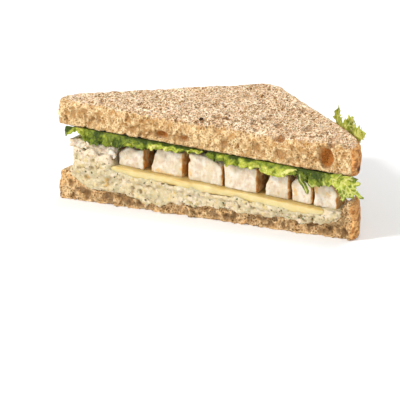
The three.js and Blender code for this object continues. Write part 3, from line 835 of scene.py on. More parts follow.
def add_lumps(field, plain, tint, grid):
    """Shreds on the spread's faces and gaps between them, with the shreds' shades in `tint`."""
    random = np.random.default_rng(65)
    for _ in range(LUMPS):
        at_face = random.random() < 0.7
        if at_face:
            px = random.uniform(-71, 68)
            py = FRONT - 1.5
        else:
            px = random.uniform(-1, 1) * 68
            py = HALF_DIAGONAL - abs(px) - 6.6 + random.normal(0, 0.4)
        if past_crust(px, py, 4) > 0.6:
            continue
        low = float(along(SMEAR, px)) if at_face else float(top_of_lower_slice(px, py))
        high = float(top_of_spread(px, py)) - 0.3
        if high - low < 0.8:
            continue
        pz = random.uniform(low + 0.3, high)
        if at_face:
            py = FRONT - float(spread_out(px, pz, high)) + random.normal(0.35, 0.35)
        place = (px, py, pz)
        inside = grid.part(place, grid.step)
        if inside is None or plain[inside].min() > 0.3:
            continue
        at_heap = px < HEAPED_LEFT
        r = (0.5 + 0.95 * random.random() ** 2) * (1.35 if at_heap or px > HEAPED_RIGHT else 1)
        long = random.uniform(1.0, 1.6)
        spin = turned(random.normal(0, 0.4), random.uniform(-1.5, 1.5), random.normal(0, 0.4))
        # The heaped shreds are a little darker, a painted shade that tones down the key light on the
        # left heap.
        shade = random.choice([0.0, 0.5, 1.0, -0.6], p=[0.46, 0.24, 0.2, 0.1]) - (0.2 if at_heap else 0)
        if at_heap and high - pz < 2.6:
            r, shade = 1.25 * r, 1.0
        if random.random() < 0.8:
            radii = (r * long, r * 0.8, r * 0.8)
            stamp(field, grid, place, radii, spin, 0.4, add=True)
            cuts = grid.part(place, max(radii))
            near = sum(offset**2 for offset in grid.offsets(cuts, place)) < (r * 1.2) ** 2
            tint[cuts] = np.where(near, shade, tint[cuts])
        else:
            radii = (r * long * 0.8, r * 0.7, r * 0.6)
            stamp(field, grid, (px, py - 0.55, pz), radii, spin, 0.6)


def add_spread():
    grid = Grid((-74, -8.5, 0.5), (74, 77, 28.5), chosen_step(0.55))
    x, y, z = grid.axes
    top = top_of_spread(x, y)
    bottom = top_of_lower_slice(x, y) - 0.4
    smear = along(SMEAR, x) + 1.5 * noise(x, y, 0 * x, 3.0, 61) + 0.6 * noise(x, y, 0 * x, 1.4, 58)
    bottom = bottom + (smear - bottom) * smoothstep(FRONT + 0.3 - y, 0, 0.8)
    wander = 0.7 * noise(x, y, z, 9, 62) + 0.45 * noise(x, y, z, 2.6, 63)
    front = (FRONT - spread_out(x, z, top) - y) + wander
    tip = 3.0 * smoothstep(-x, 55, 66) * smoothstep(z, 12, 21)
    outline = past_crust(x, y, SPREAD_INSET) + wander + tip
    field = smooth_max(smooth_max(front, outline, 1.5), np.maximum(z - top, bottom - z), 0.8)
    field = field.astype(np.float32)
    plain = field.copy()
    tint = np.zeros_like(field)
    add_lumps(field, plain, tint, grid)
    field = np.maximum(field, plain - 0.45 - 0.45 * smoothstep(np.abs(x - 5), 49, 55))
    field = np.maximum(field, z - top - 0.1 * noise(x, y, z, 2, 64))
    field = np.maximum(field, FRONT - SPREAD_REACH - y)

    points, faces = eased_skin(field, grid, 0.4)
    x, y, z = points.T
    # How deep each point lies below the plain spread, which the material darkens as painted shade.
    pit = -sample(plain, grid, points)
    shade = sample(tint, grid, points)
    normals = vertex_normals(points, faces)
    stain = 0.7 * np.exp(-(((x + 51.5) / 1.6) ** 2) - ((z - 21.6) / 1.3) ** 2)
    shade = np.where(y < 0, shade - 1.8 * stain, shade)
    points = points + normals * (0.2 * rough(x, y, z, 1.3, 2, 70))[:, None]
    piece("spread", points, faces, spread_material(), "spread", ["chicken_spread"], tint=shade, pit=pit)
    add_flecks(points, normals)


# Each kind's colour, how many there are, and their least and largest radius.
FLECKS = {
    "herb_flecks": ((82, 100, 44), 42, (0.34, 0.8)),
    "pepper_flecks": ((62, 52, 38), 22, (0.22, 0.45)),
}
FLECK_SIDES = 6


def add_flecks(points, normals):
    """Chopped herbs and cracked pepper on the spread's cut face, each with a raised middle."""
    random = np.random.default_rng(81)
    facing = np.nonzero((normals[:, 1] < -0.55) & (points[:, 1] < FRONT))[0]
    turns = np.arange(FLECK_SIDES) * math.pi / (FLECK_SIDES / 2)
    ring = np.array([(math.cos(turn), math.sin(turn)) for turn in turns])
    for name, (colour, count, radius) in FLECKS.items():
        all_points, all_faces = [], []
        for fleck in range(count):
            at = facing[random.integers(len(facing))]
            normal = normals[at]
            side = np.cross(normal, random.normal(size=3))
            side /= np.linalg.norm(side)
            up = np.cross(normal, side)
            size = random.uniform(*radius)
            narrow = random.uniform(0.4, 0.9)
            wobble = random.uniform(0.75, 1.2, FLECK_SIDES)
            flat = ring[:, :1] * side + narrow * ring[:, 1:] * up
            rim = points[at] + 0.1 * normal + size * wobble[:, None] * flat
            all_points += [*rim, points[at] + 0.32 * normal, points[at] - 0.3 * normal]
            first = fleck * (FLECK_SIDES + 2)
            over, under = first + FLECK_SIDES, first + FLECK_SIDES + 1
            for k in range(FLECK_SIDES):
                one, two = first + k, first + (k + 1) % FLECK_SIDES
                all_faces += [(one, two, over), (two, one, under)]
        shader = Shader(name + "_look", 0.5)
        dark = shader.mix(0.5, colour, (0, 0, 0))
        material = shader.finish(shader.mix(shader.patches(0.8, 2, 0.35, 0.65), colour, dark))
        piece(name, np.array(all_points), np.array(all_faces), material, "spread", [])


# Cheese

CHEESE_EDGE = 0.7


def cheese_material():
    shader = Shader("cheese_look", 0.42, 0.4, 0.4, (4, 2.6, 1))
    streaks = shader.patches(4.0, 3, 0.35, 0.65, -0.4, 0.3, stretch=(0.4, 1, 1))
    # Darker along the top and bottom edges: painted shade along the top edge, under the dice and bread,
    # and amber along the bottom edge.
    edge_shade_and_amber = shader.math("ADD", shader.attribute("edge"), streaks)
    colour = shader.layered(
        shader.mix(shader.ramp(edge_shade_and_amber, 0.2, 0.9), (205, 186, 130), (196, 166, 96)),
        (shader.patches(3.6, 3, 0.42, 0.7, 0, 0.5), (214, 198, 150)),
    )
    return shader.finish(colour, shader.bump(shader.noise(2.2, 3, stretch=(0.5, 1, 1.6)), 0.12))


def add_cheese():
    grid = Grid((-51, -9, 8), (67, 52, 22), chosen_step(0.55))
    x, y, z = grid.axes
    wave = 0.3 * noise(x, y, 0 * z, 16, 90) + 0.12 * noise(x, y, z, 5, 91)
    ends = 1.4 * smoothstep(np.abs(x - 8), 50, 56)
    top = cheese_top(x, y) + 0.5 * wave - 0.3 * ends
    bottom = cheese_top(x, y) - CHEESE_THICKNESS + 0.5 * wave + 0.5 * ends
    bottom = bottom + 0.5 * noise(x, y, z, 7, 95) * smoothstep(FRONT - y, 0, 2)
    outline = np.maximum(CHEESE_FRONT - y, past_cheese_ends(x, y))
    outline = outline + 0.7 * noise(x, 0 * y, z, 8, 92) + 0.25 * noise(x, y, z, 2.4, 93)
    field = smooth_max(outline, np.maximum(z - top, bottom - z), CHEESE_EDGE).astype(np.float32)
    points, faces = eased_skin(field, grid, 0.5, passes=2)
    x, y, z = points.T
    from_top = cheese_top(x, y) - z
    from_edge = np.minimum(from_top, CHEESE_THICKNESS - 0.3 - from_top)
    # The band along the cheese's top and bottom edges, for that painted shade and amber.
    edge = 1 - smoothstep(from_edge + 0.45 * noise(x, y, z, 6, 94), 0.2, 1.4)
    piece("cheese_slice", points, faces, cheese_material(), "cheese", ["cheese"], edge=edge)


# Diced chicken

# The dice that show in the cut, as in the solids. Each has its ends along x and y, and where
# they are given its `share` of the room's height and how far it is `raised`. `off` has the
# corners that the knife took off, each a line in the cut through (x, z) whose outer side goes.
# `crumbled` is how far a dice has come apart, and `foot` how brown its lower edge is. Each of
# the `stains_and_shadow` marks has its x, its height over the cheese, its half width and height,
# and its strength; they are tan creases and stains, but for one painted shadow on the last dice.
CUT_ROW = [
    {
        "x": (-69.2, -61.5), "y": (-4.4, 5.5), "share": 0.97, "raised": 4.7, "crumbled": 1.0,
        "off": [(-67.8, 28, -0.75, -0.65), (-68.2, 31.2, -0.75, 0.65)],
    },
    {"x": (-60.6, -45.6), "y": (-4.4, 7), "share": 0.96, "raised": 2.7, "crumbled": 1.0},
    {
        "x": (-44.6, -31), "y": (-3.5, 9.5), "share": 0.98,
        "off": [(-44.4, 27, -0.6, 0.8), (-43, 19, -0.6, -0.8)],
    },
    {
        "x": (-27.6, -10.8), "y": (-3.3, 10.5), "off": [(-27.4, 24, -0.93, 0.36)], "foot": 0.6,
        "stains_and_shadow": [(-24, 1.5, 5.5, 2, 0.85), (-11.6, 7, 1.6, 5, 0.5)],
    },
    {
        "x": (-8, 9.6), "y": (-3.4, 10), "share": 0.99, "off": [(8.9, 26.6, 0.6, 0.8)], "foot": 0.3,
        "stains_and_shadow": [(-5.5, 3, 2.4, 3, 0.5), (8.6, 4, 1.2, 3, 0.45)],
    },
    {"x": (10.4, 27.2), "y": (-3.8, 10.5), "share": 0.98},
    {
        "x": (30.6, 43), "y": (-3.2, 10), "share": 0.99, "off": [(30.8, 18.5, -0.95, 0.3)],
        "stains_and_shadow": [(33.4, 9, 1.1, 2.6, 0.5)],
    },
    {
        "x": (44.4, 54.6), "y": (-3.1, 8.6), "share": 0.97, "off": [(44.6, 24, -0.7, 0.7)], "foot": 0.3,
        "stains_and_shadow": [(46.6, 6, 1.3, 6, 0.6)],
    },
    {
        "x": (55.4, 67.2), "y": (-3.4, 8.4), "share": 0.97, "off": [(66.9, 22.5, 0.8, 0.6)], "foot": 0.4,
        # Its second mark is a painted shadow; its first is a tan crease.
        "stains_and_shadow": [(57, 9, 1.8, 4.5, 0.6), (62.5, 6.4, 3.4, 1.8, 0.42)],
    },
]
SUNK = 0.9  # how far a dice's block goes down past the cheese, where it is cut off
CRUMBS_PER_MM = 9  # lumps and gaps along a dice that has come apart
LOWER_BEHIND = 1.2  # how much lower than their solids the dice behind the cut are
LETTUCE_ROOM = [(-75, 5.5), (-40, 5), (-15, 2.7), (0, 2.4), (20, 3.7), (45, 4.8), (75, 5.5)]


def lettuce_room(x, y):
    at_cut = along(LETTUCE_ROOM, x)
    return at_cut + (4.2 - at_cut) * smoothstep(y, 8, 16)


def chicken_material():
    shader = Shader("chicken_look", 0.5, 0.35, 0.35, (3.5, 2.2, 1.3))
    side, core = shader.attribute("side"), shader.attribute("core")
    fibre = shader.noise(1.3, 4, stretch=(1.0, 0.4, 0.55))
    glaze = shader.math("ADD", side, shader.patches(2.4, 3, 0.35, 0.7, -0.25, 0.25))
    colour = shader.layered(
        shader.mix(shader.patches(5.0, 2, 0.38, 0.62), (206, 191, 163), (220, 210, 193)),
        (shader.times(shader.patches(3.0, 3, 0.48, 0.66), core), (204, 182, 158)),
        (shader.ramp(fibre, 0.54, 0.72, 0, 0.7), (192, 162, 108)),
        (shader.ramp(fibre, 0.42, 0.28, 0, 0.5), (238, 226, 206)),
        (shader.ramp(glaze, 0.3, 0.7), (214, 178, 122)),
        (shader.ramp(glaze, 0.75, 1.05), (194, 134, 68)),
    )
    normal = shader.bump(fibre, 0.5)
    return shader.finish(colour, shader.bump(shader.noise(0.7, 2), 0.18, normal))


def add_chunk(name, centre, size, yaw, base, spec, seed, step, material):
    """A knife-cut dice on a sloping base, with its torn sides, in place of its node."""
    low, high = node_box(name)
    crumbled = spec.get("crumbled", 0)
    margin = 1.4 + crumbled
    grid = Grid(low - margin, high + margin, step)
    x, y, z = grid.axes

    def from_middle(x, y):
        return (x - centre[0]) * math.cos(yaw) + (y - centre[1]) * math.sin(yaw)

    deep = (y - centre[1]) * math.cos(yaw) - (x - centre[0]) * math.sin(yaw)
    up = z - base(x, y) - DICE_GAP * 0.5 + SUNK - (size[2] + SUNK) / 2
    edge = 1.0
    u = np.abs(from_middle(x, y)) - size[0] / 2 + edge
    v = np.abs(deep) - size[1] / 2 + edge
    w = np.abs(up) - (size[2] + SUNK) / 2 + edge * 0.8
    outside = np.sqrt(np.maximum(u, 0) ** 2 + np.maximum(v, 0) ** 2 + np.maximum(w, 0) ** 2)
    field = outside + np.minimum(np.maximum(np.maximum(u, v), w), 0) - edge
    for at_x, at_z, out_x, out_z in spec.get("off", []):
        field = smooth_max(field, (x - at_x) * out_x + (z - at_z) * out_z, 1.0)
    torn = smoothstep(y - np.float32(low[1]), 0.6, 2.4) + 2.4 * crumbled
    field = field + 0.45 * noise(x, y, z, 5.5, seed) + 0.15
    field = field + (0.22 + 0.25 * torn) * noise(x, y, z, 2, seed + 1)
    field = field + 0.16 * noise(x, y * 0.35, z, 1.1, seed + 2)
    chips = np.maximum(noise(x, 0.3 * y, z, 3.2, seed + 3) - 0.35, 0)
    field = field + 2.2 * (1 - crumbled) * chips * smoothstep(np.maximum(u, w), -1.2, 0.6)
    field = field.astype(np.float32)
    random = np.random.default_rng(seed)
    for _ in range(int(CRUMBS_PER_MM * size[0] * crumbled)):
        px = centre[0] + random.uniform(-0.48, 0.48) * size[0]
        pz = float(base(px, low[1])) + random.uniform(0.1, 0.9) * size[2]
        r = random.uniform(0.7, 1.3)
        spin = turned(random.uniform(-1, 1), random.uniform(-1, 1), random.uniform(-1, 1))
        lump = random.random() < 0.7
        py = centre[1] - size[1] / 2 + (random.uniform(0.1, 0.9) if lump else random.uniform(-0.8, -0.2))
        stamp(field, grid, (px, py, pz), (1.3 * r, r, 0.8 * r), spin, 0.3, add=lump)
    field = smooth_max(field, base(x, y) + 0.04 - z, 0.15)

    points, faces = eased_skin(field.astype(np.float32), grid, 0.3)
    x, y, z = points.T
    normals = vertex_normals(points, faces)
    sideways = normals[:, 0] * math.cos(yaw) + normals[:, 1] * math.sin(yaw)
    flat = smoothstep(np.abs(sideways), 0.45, 0.85) * (1 - 0.6 * crumbled)
    inside = np.clip(1 - np.abs(from_middle(x, y)) / (size[0] / 2), 0, 1)
    from_base = z - base(x, y)
    foot = spec.get("foot", 0) * (1 - smoothstep(from_base, 0.6, 2.2)) * smoothstep(inside, 0, 0.2)
    spots = 0.8 * crumbled * smoothstep(noise(x, y, z, 2.6, seed + 4), 0.4, 0.7)
    side = np.clip(flat + foot + spots, 0, 1)
    # Tan creases and stains, and the one painted shadow, laid over the sides.
    for at, over, wide, tall, share in spec.get("stains_and_shadow", []):
        away = np.hypot((x - at) / wide, (from_base - over) / tall)
        away = away + 0.4 * noise(x, y, z, 2.0, seed + 5)
        side = np.maximum(side, share * (1 - smoothstep(away, 0.3, 1.2)))
    core = smoothstep(inside, 0.1, 0.6)
    piece(name + "_dice", points, faces, material, "chicken", [name], side=side, core=core)


def add_chicken():
    material = chicken_material()
    step = chosen_step(0.45)
    for i, spec in enumerate(CUT_ROW):
        raised = spec.get("raised", 0)
        centre = [sum(spec["x"]) / 2, sum(spec["y"]) / 2]
        ceiling = under_upper_slice(*centre) - lettuce_room(*centre)
        height = (float(ceiling - cheese_top(*centre)) - raised - 2 * DICE_GAP) * spec.get("share", 1)
        size = (spec["x"][1] - spec["x"][0], spec["y"][1] - spec["y"][0], height)

        def base(x, y, raised=raised):
            return cheese_top(x, y) + raised

        add_chunk(f"chicken_{i + 1:02d}", centre, size, 0, base, spec, 100 + 3 * i, step, material)
    dice = sorted(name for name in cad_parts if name[:8] == "chicken_" and name[8:].isdigit())
    for i, name in enumerate(dice[len(CUT_ROW):]):
        low, high = node_box(name)
        centre = (low + high)[:2] / 2
        side = (high - low)[:2].mean() / math.sqrt(2) * 1.02
        height = high[2] - low[2] - CHEESE_FALL_X * (high[0] - low[0]) / 2
        size = (side, side, height - LOWER_BEHIND)
        add_chunk(name, centre, size, math.pi / 4, cheese_top, {}, 140 + 3 * i, step * 1.6, material)


# Lettuce

def lettuce_material():
    shader = Shader("lettuce_look", 0.5, 0.2, 0.12, (0.6, 1.6, 0.3))
    tone, vein = shader.attribute("tone"), shader.attribute("vein")
    tone = shader.math("ADD", tone, shader.patches(1.6, 4, 0.3, 0.7, -0.2, 0.2))
    deep, green, bright, pale = (52, 67, 8), (109, 122, 32), (168, 172, 62), (212, 209, 128)
    colour = shader.layered(
        shader.mix(shader.ramp(tone, 0.05, 0.42), deep, green),
        (shader.ramp(tone, 0.42, 0.78), bright),
        (shader.ramp(tone, 0.8, 1.15), pale),
        (shader.ramp(vein, 0.3, 0.9, 0, 0.6), pale),
    )
    normal = shader.bump(shader.noise(0.9, 3), 0.3)
    veins = shader.cells(1.5, feature="DISTANCE_TO_EDGE", wander=1.0)
    return shader.finish(colour, shader.bump(veins, 0.5, normal))


def vein_lines(pattern):
    """Thin lines where a pattern crosses zero."""
    return np.exp(-((np.abs(pattern) / 0.05) ** 2))


def leaf(name, surface, across_u, across_v, thickness, material, node):
    """A thin closed leaf round a surface given over u and v from 0 to 1."""
    u, v = np.meshgrid(np.linspace(0, 1, across_u + 1), np.linspace(0, 1, across_v + 1), indexing="ij")
    middle, tone, vein, relief = surface(u, v)
    normal = np.cross(np.gradient(middle, axis=0), np.gradient(middle, axis=1))
    normal /= np.maximum(np.linalg.norm(normal, axis=2, keepdims=True), 1e-9)
    middle = middle + normal * relief[..., None]
    edge = np.minimum(np.minimum(u, 1 - u) * across_u, np.minimum(v, 1 - v) * across_v)
    half = thickness / 2 * (0.45 + 0.55 * smoothstep(edge, 0, 2))[..., None]
    points = np.stack([middle - normal * half, middle + normal * half]).reshape(-1, 3)
    row = across_v + 1
    layer = (across_u + 1) * row
    along_u, along_v = np.arange(across_u) * row, np.arange(across_v)
    a = (along_u[:, None] + along_v).ravel()
    quads = np.stack([a, a + 1, a + row + 1, a + row], 1)
    faces = [quads, quads[:, ::-1] + layer]
    for one, two in (
        (along_u, along_u + row),
        (along_u + row + across_v, along_u + across_v),
        (along_v + 1, along_v),
        (across_u * row + along_v, across_u * row + along_v + 1),
    ):
        faces.append(np.stack([one, two, two + layer, one + layer], 1))
    tone, vein = np.tile(tone.ravel(), 2), np.tile(vein.ravel(), 2)
    piece(name, points, np.concatenate(faces), material, "lettuce", [node], tone=tone, vein=vein)


# For each leaf at the cut: its ends, between which x it hangs smoothly, its seed, how far it
# hangs below the upper slice, and its paleness at its top and at its hem, where the top is
# darker partly as painted shade under the upper slice.
LEFT_LEAF = {
    "ends": (-71, 0.5), "smooth": (-70, -64), "seed": 160,
    "drop": [
        (-71, 4.2), (-69.6, 4.8), (-68.2, 3), (-66.8, 1.5), (-62.5, 1.4), (-61, 3.2), (-59.5, 5.4),
        (-57, 7), (-55, 6), (-51, 5.4), (-46, 5.4), (-42, 6), (-40, 5.6), (-38.5, 3.6), (-36, 3.8),
        (-33, 4.1), (-28, 4.1), (-25.5, 3), (-20, 2.6), (-13, 2.4), (-8, 1.6), (-5, 0.9), (1, 0.6),
    ],
    "top": [
        (-71, 0.1), (-68.5, 0.15), (-67.5, 0.6), (-62, 0.6), (-60, 0.3), (-56, 0.15), (-41, 0.18),
        (-38, 0.0), (1, 0.0),
    ],
    "hem": [
        (-71, 0.2), (-68.5, 0.2), (-67.5, 0.65), (-61.5, 0.6), (-58, 0.4), (-55, 0.14), (-48, 0.2),
        (-41, 0.08), (-39, 0.24), (-33, 0.28), (-27, 0.22), (-25, 0.7), (-12, 0.8), (-6, 0.75), (1, 0.5),
    ],
}
RIGHT_LEAF = {
    "ends": (3, 76), "smooth": (29, 47), "seed": 170,
    "drop": [
        (3, 1), (5.5, 2.6), (7.6, 4.2), (9.2, 2.6), (11, 3), (14.2, 4.9), (16.5, 3), (20, 3.6),
        (25, 3.8), (28.5, 3), (31, 4), (35, 5.2), (39, 5.4), (43, 4.4), (46, 2.6), (50, 3), (53, 5.6),
        (57, 6.8), (60, 6.4), (64, 5), (68, 3.4), (73, 3), (77, 2.2),
    ],
    "top": [
        (3, 0.1), (26, 0.05), (30, 0.5), (44, 0.5), (48, 0.05), (62, 0.05), (66, 0.3), (72, 0.6),
        (77, 0.8),
    ],
    "hem": [
        (3, 0.25), (8, 0.35), (11, 0.45), (15, 0.6), (18, 0.35), (21, 0.7), (26, 0.7), (29, 0.55),
        (32, 0.8), (44, 0.8), (48, 0.25), (54, 0.12), (61, 0.15), (65, 0.35), (70, 0.6), (77, 0.85),
    ],
}
OVER_EDGE = 0.5  # the share of such a leaf that hangs over the edge
LOBE_LENGTH = 2.9
TOOTH_LENGTH = 1.2
RUFFLE = 1.05  # how far its waves turn in a millimetre, in radians


def pointed(turns):
    """Lobes that hang to a point, one for each turn."""
    return (1 - np.abs(2 * (turns - np.floor(turns)) - 1)) ** 1.4


def cut_leaf(name, spec, behind, material, node):
    """A leaf that lies under the upper slice, with its frilled hem hanging over the filling."""
    ends, smooth, seed = spec["ends"], spec["smooth"], spec["seed"]

    def surface(u, v):
        x = ends[0] + (ends[1] - ends[0]) * u
        none = 0 * x
        hang = np.clip((OVER_EDGE - v) / OVER_EDGE, 0, 1)
        inside = np.clip((v - OVER_EDGE) / (1 - OVER_EDGE), 0, 1)
        room = lettuce_room(x, none - 7)
        calm = smoothstep(x, smooth[0], smooth[0] + 3) * smoothstep(-x, -smooth[1], 3 - smooth[1])
        lively = 1 - 0.7 * calm
        lobes = pointed(x / LOBE_LENGTH + 0.9 * noise_along(x, 6, seed + 4))
        teeth = pointed(x / TOOTH_LENGTH + 0.5 * noise_along(x, 3, seed + 5))
        fall = along(spec["drop"], x) + lively * (0.9 * lobes + 0.35 * teeth - 0.7)
        frill = hang**1.2
        wave = np.sin(x * RUFFLE + 2.6 * noise_along(x, 9, seed))
        fold = noise(x, hang * 4, none, 3.0, seed + 1)
        crinkle = noise(x, hang * 6, none, 1.5, seed + 9)
        start = FRONT - 0.7
        out = lively * (1.1 * wave + 0.9 * fold + 0.4 * crinkle)
        y = start - 2.4 * hang**0.7 + (behind(x) - start) * inside + frill * out
        settle = smoothstep(inside, 0, 0.2)
        z = under_upper_slice(x, y) - 0.3 - (room / 2 - 0.5) * settle - hang**1.1 * fall
        z = z + (room / 2 - 1.0) * 0.7 * settle * noise(x, y, none, 6, seed + 2)
        x_moved = x + frill * (0.8 * np.cos(x * RUFFLE + 1.0) + 0.4 * fold)
        wrinkle = 0.5 * noise(x, hang * 5, inside * 30, 2.2, seed + 3)
        wrinkle = wrinkle + 0.3 * noise(x, hang * 6, inside * 30, 1.1, seed + 7)
        vein = vein_lines(noise(x, v * 12, none, 5.5, seed + 6))
        patch = noise(x, hang * 6, none, 3.5, seed + 8)
        # The top's darker tone is partly painted shade under the upper slice.
        top, hem = (along(spec[part], x + 1.5 * patch) for part in ("top", "hem"))
        tone = top + (hem - top) * smoothstep(hang + 0.15 * patch, 0.1, 0.5)
        # Paler with the wrinkles' relief, a painted highlight, and darker where the hem's folds lie
        # back, a painted shade.
        tone = tone + 0.22 * patch * lively + 0.4 * wrinkle - 0.1 * out * hang
        return np.stack([x_moved, y, z], 2), tone, vein * hang, wrinkle * smoothstep(hang, 0, 0.3)

    across_u = int((ends[1] - ends[0]) / chosen_step(0.32))
    leaf(name, surface, across_u, 46, 0.5, material, node)


def back_leaf(material):
    """The leaf at the back, with its curly rim past both crusts."""
    front, past, samples = 33.0, 2.2, 140
    radius = BACK_CORNER_RADIUS + past
    end = HALF_DIAGONAL + past * math.sqrt(2) - front
    leg = radius / math.sqrt(2)
    turn = np.linspace(math.pi / 4, 3 * math.pi / 4, 40)
    rim = np.concatenate([
        np.linspace((end, front), (leg, BACK_CENTRE + leg), samples),
        np.stack([radius * np.cos(turn), BACK_CENTRE + radius * np.sin(turn)], 1)[1:-1],
        np.linspace((-leg, BACK_CENTRE + leg), (-end, front), samples),
    ])

    def surface(u, v):
        outer = rim[np.round(u * (len(rim) - 1)).astype(int)]
        fade = 0.55 * v**1.6
        x = outer[..., 0] * (1 - fade)
        y = outer[..., 1] * (1 - fade) + (front + 0.4) * fade
        run = u * 170
        edge = np.clip(1 - v * 3, 0, 1)
        teeth = noise_along(run, 1.5, 181) + 0.7 * np.sin(run * 1.1)
        out = edge**2 * (0.7 * teeth - 0.4)
        x = x + np.sign(x) * out * 0.7
        y = np.maximum(y + out * 0.7, front + 0.1)
        z = under_upper_slice(x, y) - 2.1 + 0.5 * noise(x, y, 0 * x, 7, 182)
        z = z + edge * (0.9 * np.sin(run * 0.95 + 1.5 * noise_along(run, 8, 183)) - 0.2)
        vein = vein_lines(noise(x, y, 0 * x, 6, 184))
        tone = 0.5 + 0.35 * noise(run, v * 5, 0 * run, 14, 185) + 0.15 * edge
        return np.stack([x, y, z], 2), tone, vein, 0.3 * noise(x, y, z, 2.2, 186) * edge

    leaf("lettuce_back_leaf", surface, len(rim) - 1, 26, 0.6, material, "lettuce_back")


# Fronds: each a chain of (along, height, half width) on an upright surface. The sprig's
# runs behind the right crust and the frill's runs in front of the cut.
SPRIG = [
    [
        (56.5, 31, 3.8), (54.5, 36, 3.8), (52.7, 41, 3.8), (50.7, 44.6, 3.2), (50.9, 47, 1.7),
        (51.2, 50, 0.4),
    ],
    [
        (58.5, 31, 3.6), (57.9, 37, 3.4), (58.1, 41.5, 3), (59.5, 44.4, 2.8), (61.3, 47, 2.1),
        (63, 49.8, 0.5),
    ],
    [(60.7, 47, 1.6), (64.3, 48.4, 0.4)],
    [
        (61.5, 32, 3.6), (62.9, 37, 3.6), (64.9, 41, 3.4), (68.2, 44.2, 2.8), (71, 45.6, 1.9),
        (73.6, 46.4, 0.5),
    ],
    [(63.5, 42.4, 1.8), (64.9, 47.6, 0.4)], [(67.5, 45, 1.6), (68.9, 48, 0.4)],
    [(67, 42.5, 2.0), (69.5, 40.7, 0.5)], [(69.9, 44.4, 1.4), (72.1, 42.9, 0.4)],
    [(52, 38, 3.4), (57, 39.5, 3.8), (62, 39.5, 3.8), (67, 39, 2.8)],
]
FRILL = [
    [(65.5, 30, 1.6), (69.5, 29.6, 2.6), (73.5, 28.6, 2.8), (75.8, 26.2, 2.2), (76.4, 23.4, 1.2)],
    [(72, 30.6, 1.4), (76, 30.4, 1.0)], [(75.5, 28.6, 1.4), (79.4, 29.2, 0.6)],
    [(75.5, 26.2, 1.5), (79.2, 24.7, 1.1), (81.6, 23.3, 0.7)],
    [(71.4, 29, 2.4), (71.8, 25.4, 2.2), (72.4, 22, 1.3), (71.8, 20.4, 0.5)],
    [(74, 26, 1.6), (75, 22.6, 0.5)],
]
STRAND = [[(50, 30, 1.3), (52.3, 26.2, 1.1), (54.2, 23, 1.0), (54.8, 21.8, 0.4)]]
RIB = [[(41.5, 29.2, 0.6), (44.5, 30.8, 0.8), (47.5, 31.2, 0.7), (50, 30, 0.5)]]
TOOTH_SPACING = 1.5
FROND_HALF_THICKNESS = 0.3
FROND_EDGE = 0.25
FROND_MARGIN = 2.5


def stretches(chains):
    """Where each stretch between two knots starts, how far it goes, and its length."""
    for chain in chains:
        for (x0, z0, w0), (x1, z1, w1) in zip(chain, chain[1:]):
            yield (x0, z0, w0), (x1 - x0, z1 - z0, w1 - w0), math.hypot(x1 - x0, z1 - z0)


def toothed(chains):
    """The chains with short teeth along both their sides, pointing forward."""
    teeth = []
    for (x0, z0, w0), (dx, dz, dw), length in stretches(chains):
        ux, uz = dx / length, dz / length
        for k in range(int(length / TOOTH_SPACING)):
            share = (k + 0.5) * TOOTH_SPACING / length
            side = 1 if k % 2 else -1
            w = w0 + share * dw
            x, z = x0 + share * dx, z0 + share * dz
            reach = 1.4 * w + 0.5
            tip_x = x + reach * (0.6 * ux - 0.8 * side * uz)
            tip_z = z + reach * (0.6 * uz + 0.8 * side * ux)
            teeth.append([(x, z, 0.45 * w), (tip_x, tip_z, 0.15)])
    return chains + teeth


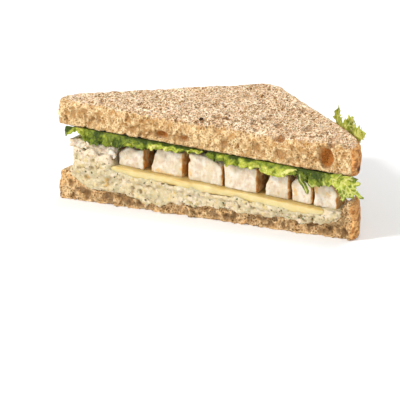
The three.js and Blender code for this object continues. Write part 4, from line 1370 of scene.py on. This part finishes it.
def add_fronds(name, chains, place, tone, seed, material, nodes):
    """A thin wavy leaf drawn as chains on a surface that `place` gives."""
    knots = np.array([knot for chain in chains for knot in chain])
    reach = knots[:, 2].max() + FROND_MARGIN
    low_a, low_z = knots[:, :2].min(axis=0) - reach
    high_a, high_z = knots[:, :2].max(axis=0) + reach
    grid = Grid((low_a, -1.0, low_z), (high_a, 1.0, high_z), chosen_step(0.3))
    a, b, z = grid.axes
    ragged = 1 + 0.3 * noise(a, 0 * a, z, 1.6, seed)
    shape = np.full((grid.shape[0], 1, grid.shape[2]), 9.0, np.float32)
    rib = shape.copy()
    for (a0, z0, w0), (da, dz, dw), length in stretches(chains):
        share = np.clip(((a - a0) * (da / length) + (z - z0) * (dz / length)) / length, 0, 1)
        away = np.hypot(a - a0 - share * da, z - z0 - share * dz)
        shape = np.minimum(shape, away - 1.08 * (w0 + share * dw) * ragged)
        rib = np.minimum(rib, away)
    field = smooth_max(shape, np.abs(b) - FROND_HALF_THICKNESS, FROND_EDGE)
    points, faces = eased_skin(field.astype(np.float32), grid, 0.4)
    x, y, z = points.T

    def flat_noise(size, more):
        return noise(x, 0 * x, z, size, seed + more)

    curl = 1.2 * flat_noise(4.2, 1) + 0.6 * flat_noise(1.7, 2)
    # Darker where the frond curls back, a painted shade.
    shade = tone + 0.32 * flat_noise(3, 3) + 0.2 * flat_noise(1.2, 4) - 0.15 * curl
    vein = np.exp(-((sample(np.broadcast_to(rib, grid.shape), grid, points) / 0.35) ** 2))
    moved = np.stack(place(x, y + curl, z), 1)
    piece(name, moved, faces, material, "lettuce", nodes, tone=shade, vein=vein)


def add_lettuce():
    material = lettuce_material()

    def behind_left(x):
        return np.minimum(28, HALF_DIAGONAL + x + 1)

    def behind_right(x):
        return np.minimum(28, HALF_DIAGONAL - x - 5)

    def behind_crust(x, out, z):
        rise = smoothstep(z, 28.5, 33)
        reach = HALF_DIAGONAL - 2.4 + 9.4 * rise + out * rise * 1.4
        return x, reach - x, z

    def before_cut(x, out, z):
        from_slice = smoothstep(under_upper_slice(x, FRONT) - z, 0, 4)
        return x, FRONT - 1.6 - 2.2 * from_slice + 0.8 * out * (0.3 + 0.7 * from_slice), z

    cut_leaf("lettuce_left_leaf", LEFT_LEAF, behind_left, material, "lettuce_left")
    cut_leaf("lettuce_right_leaf", RIGHT_LEAF, behind_right, material, "lettuce_right")
    back_leaf(material)
    add_fronds("lettuce_sprig_leaf", toothed(SPRIG), behind_crust, 0.6, 191, material, ["lettuce_sprig"])
    add_fronds("lettuce_frill", toothed(FRILL), before_cut, 0.5, 201, material, [])
    add_fronds("lettuce_rib", RIB, before_cut, 1.15, 221, material, [])
    add_fronds("lettuce_strand", STRAND, before_cut, 0.35, 211, material, [])


add_camera()
add_studio()
UPPER_BREAD = bread_material(
    "bread_upper_look",
    top=((254, 232, 200), (196, 150, 100)), cut_face=((248, 222, 174), (182, 140, 86)),
    golden=(180, 130, 70), crust_shades=((244, 180, 108), (168, 100, 42)),
    hole_shade=(146, 98, 42), deep_hole_shade=(174, 102, 16), flaky=0.8,
)
LOWER_BREAD = bread_material(
    "bread_lower_look",
    top=((232, 200, 156), (196, 150, 96)), cut_face=((250, 218, 168), (172, 128, 76)),
    golden=(206, 156, 96), crust_shades=((248, 190, 120), (176, 110, 50)),
    hole_shade=(114, 76, 32), deep_hole_shade=(78, 46, 16), flaky=0.35,
)
add_slice(UPPER_SLICE, golden_on_upper, UPPER_BREAD)
add_seed()
add_slice(LOWER_SLICE, golden_on_lower, LOWER_BREAD)
add_spread()
add_cheese()
add_chicken()
add_lettuce()
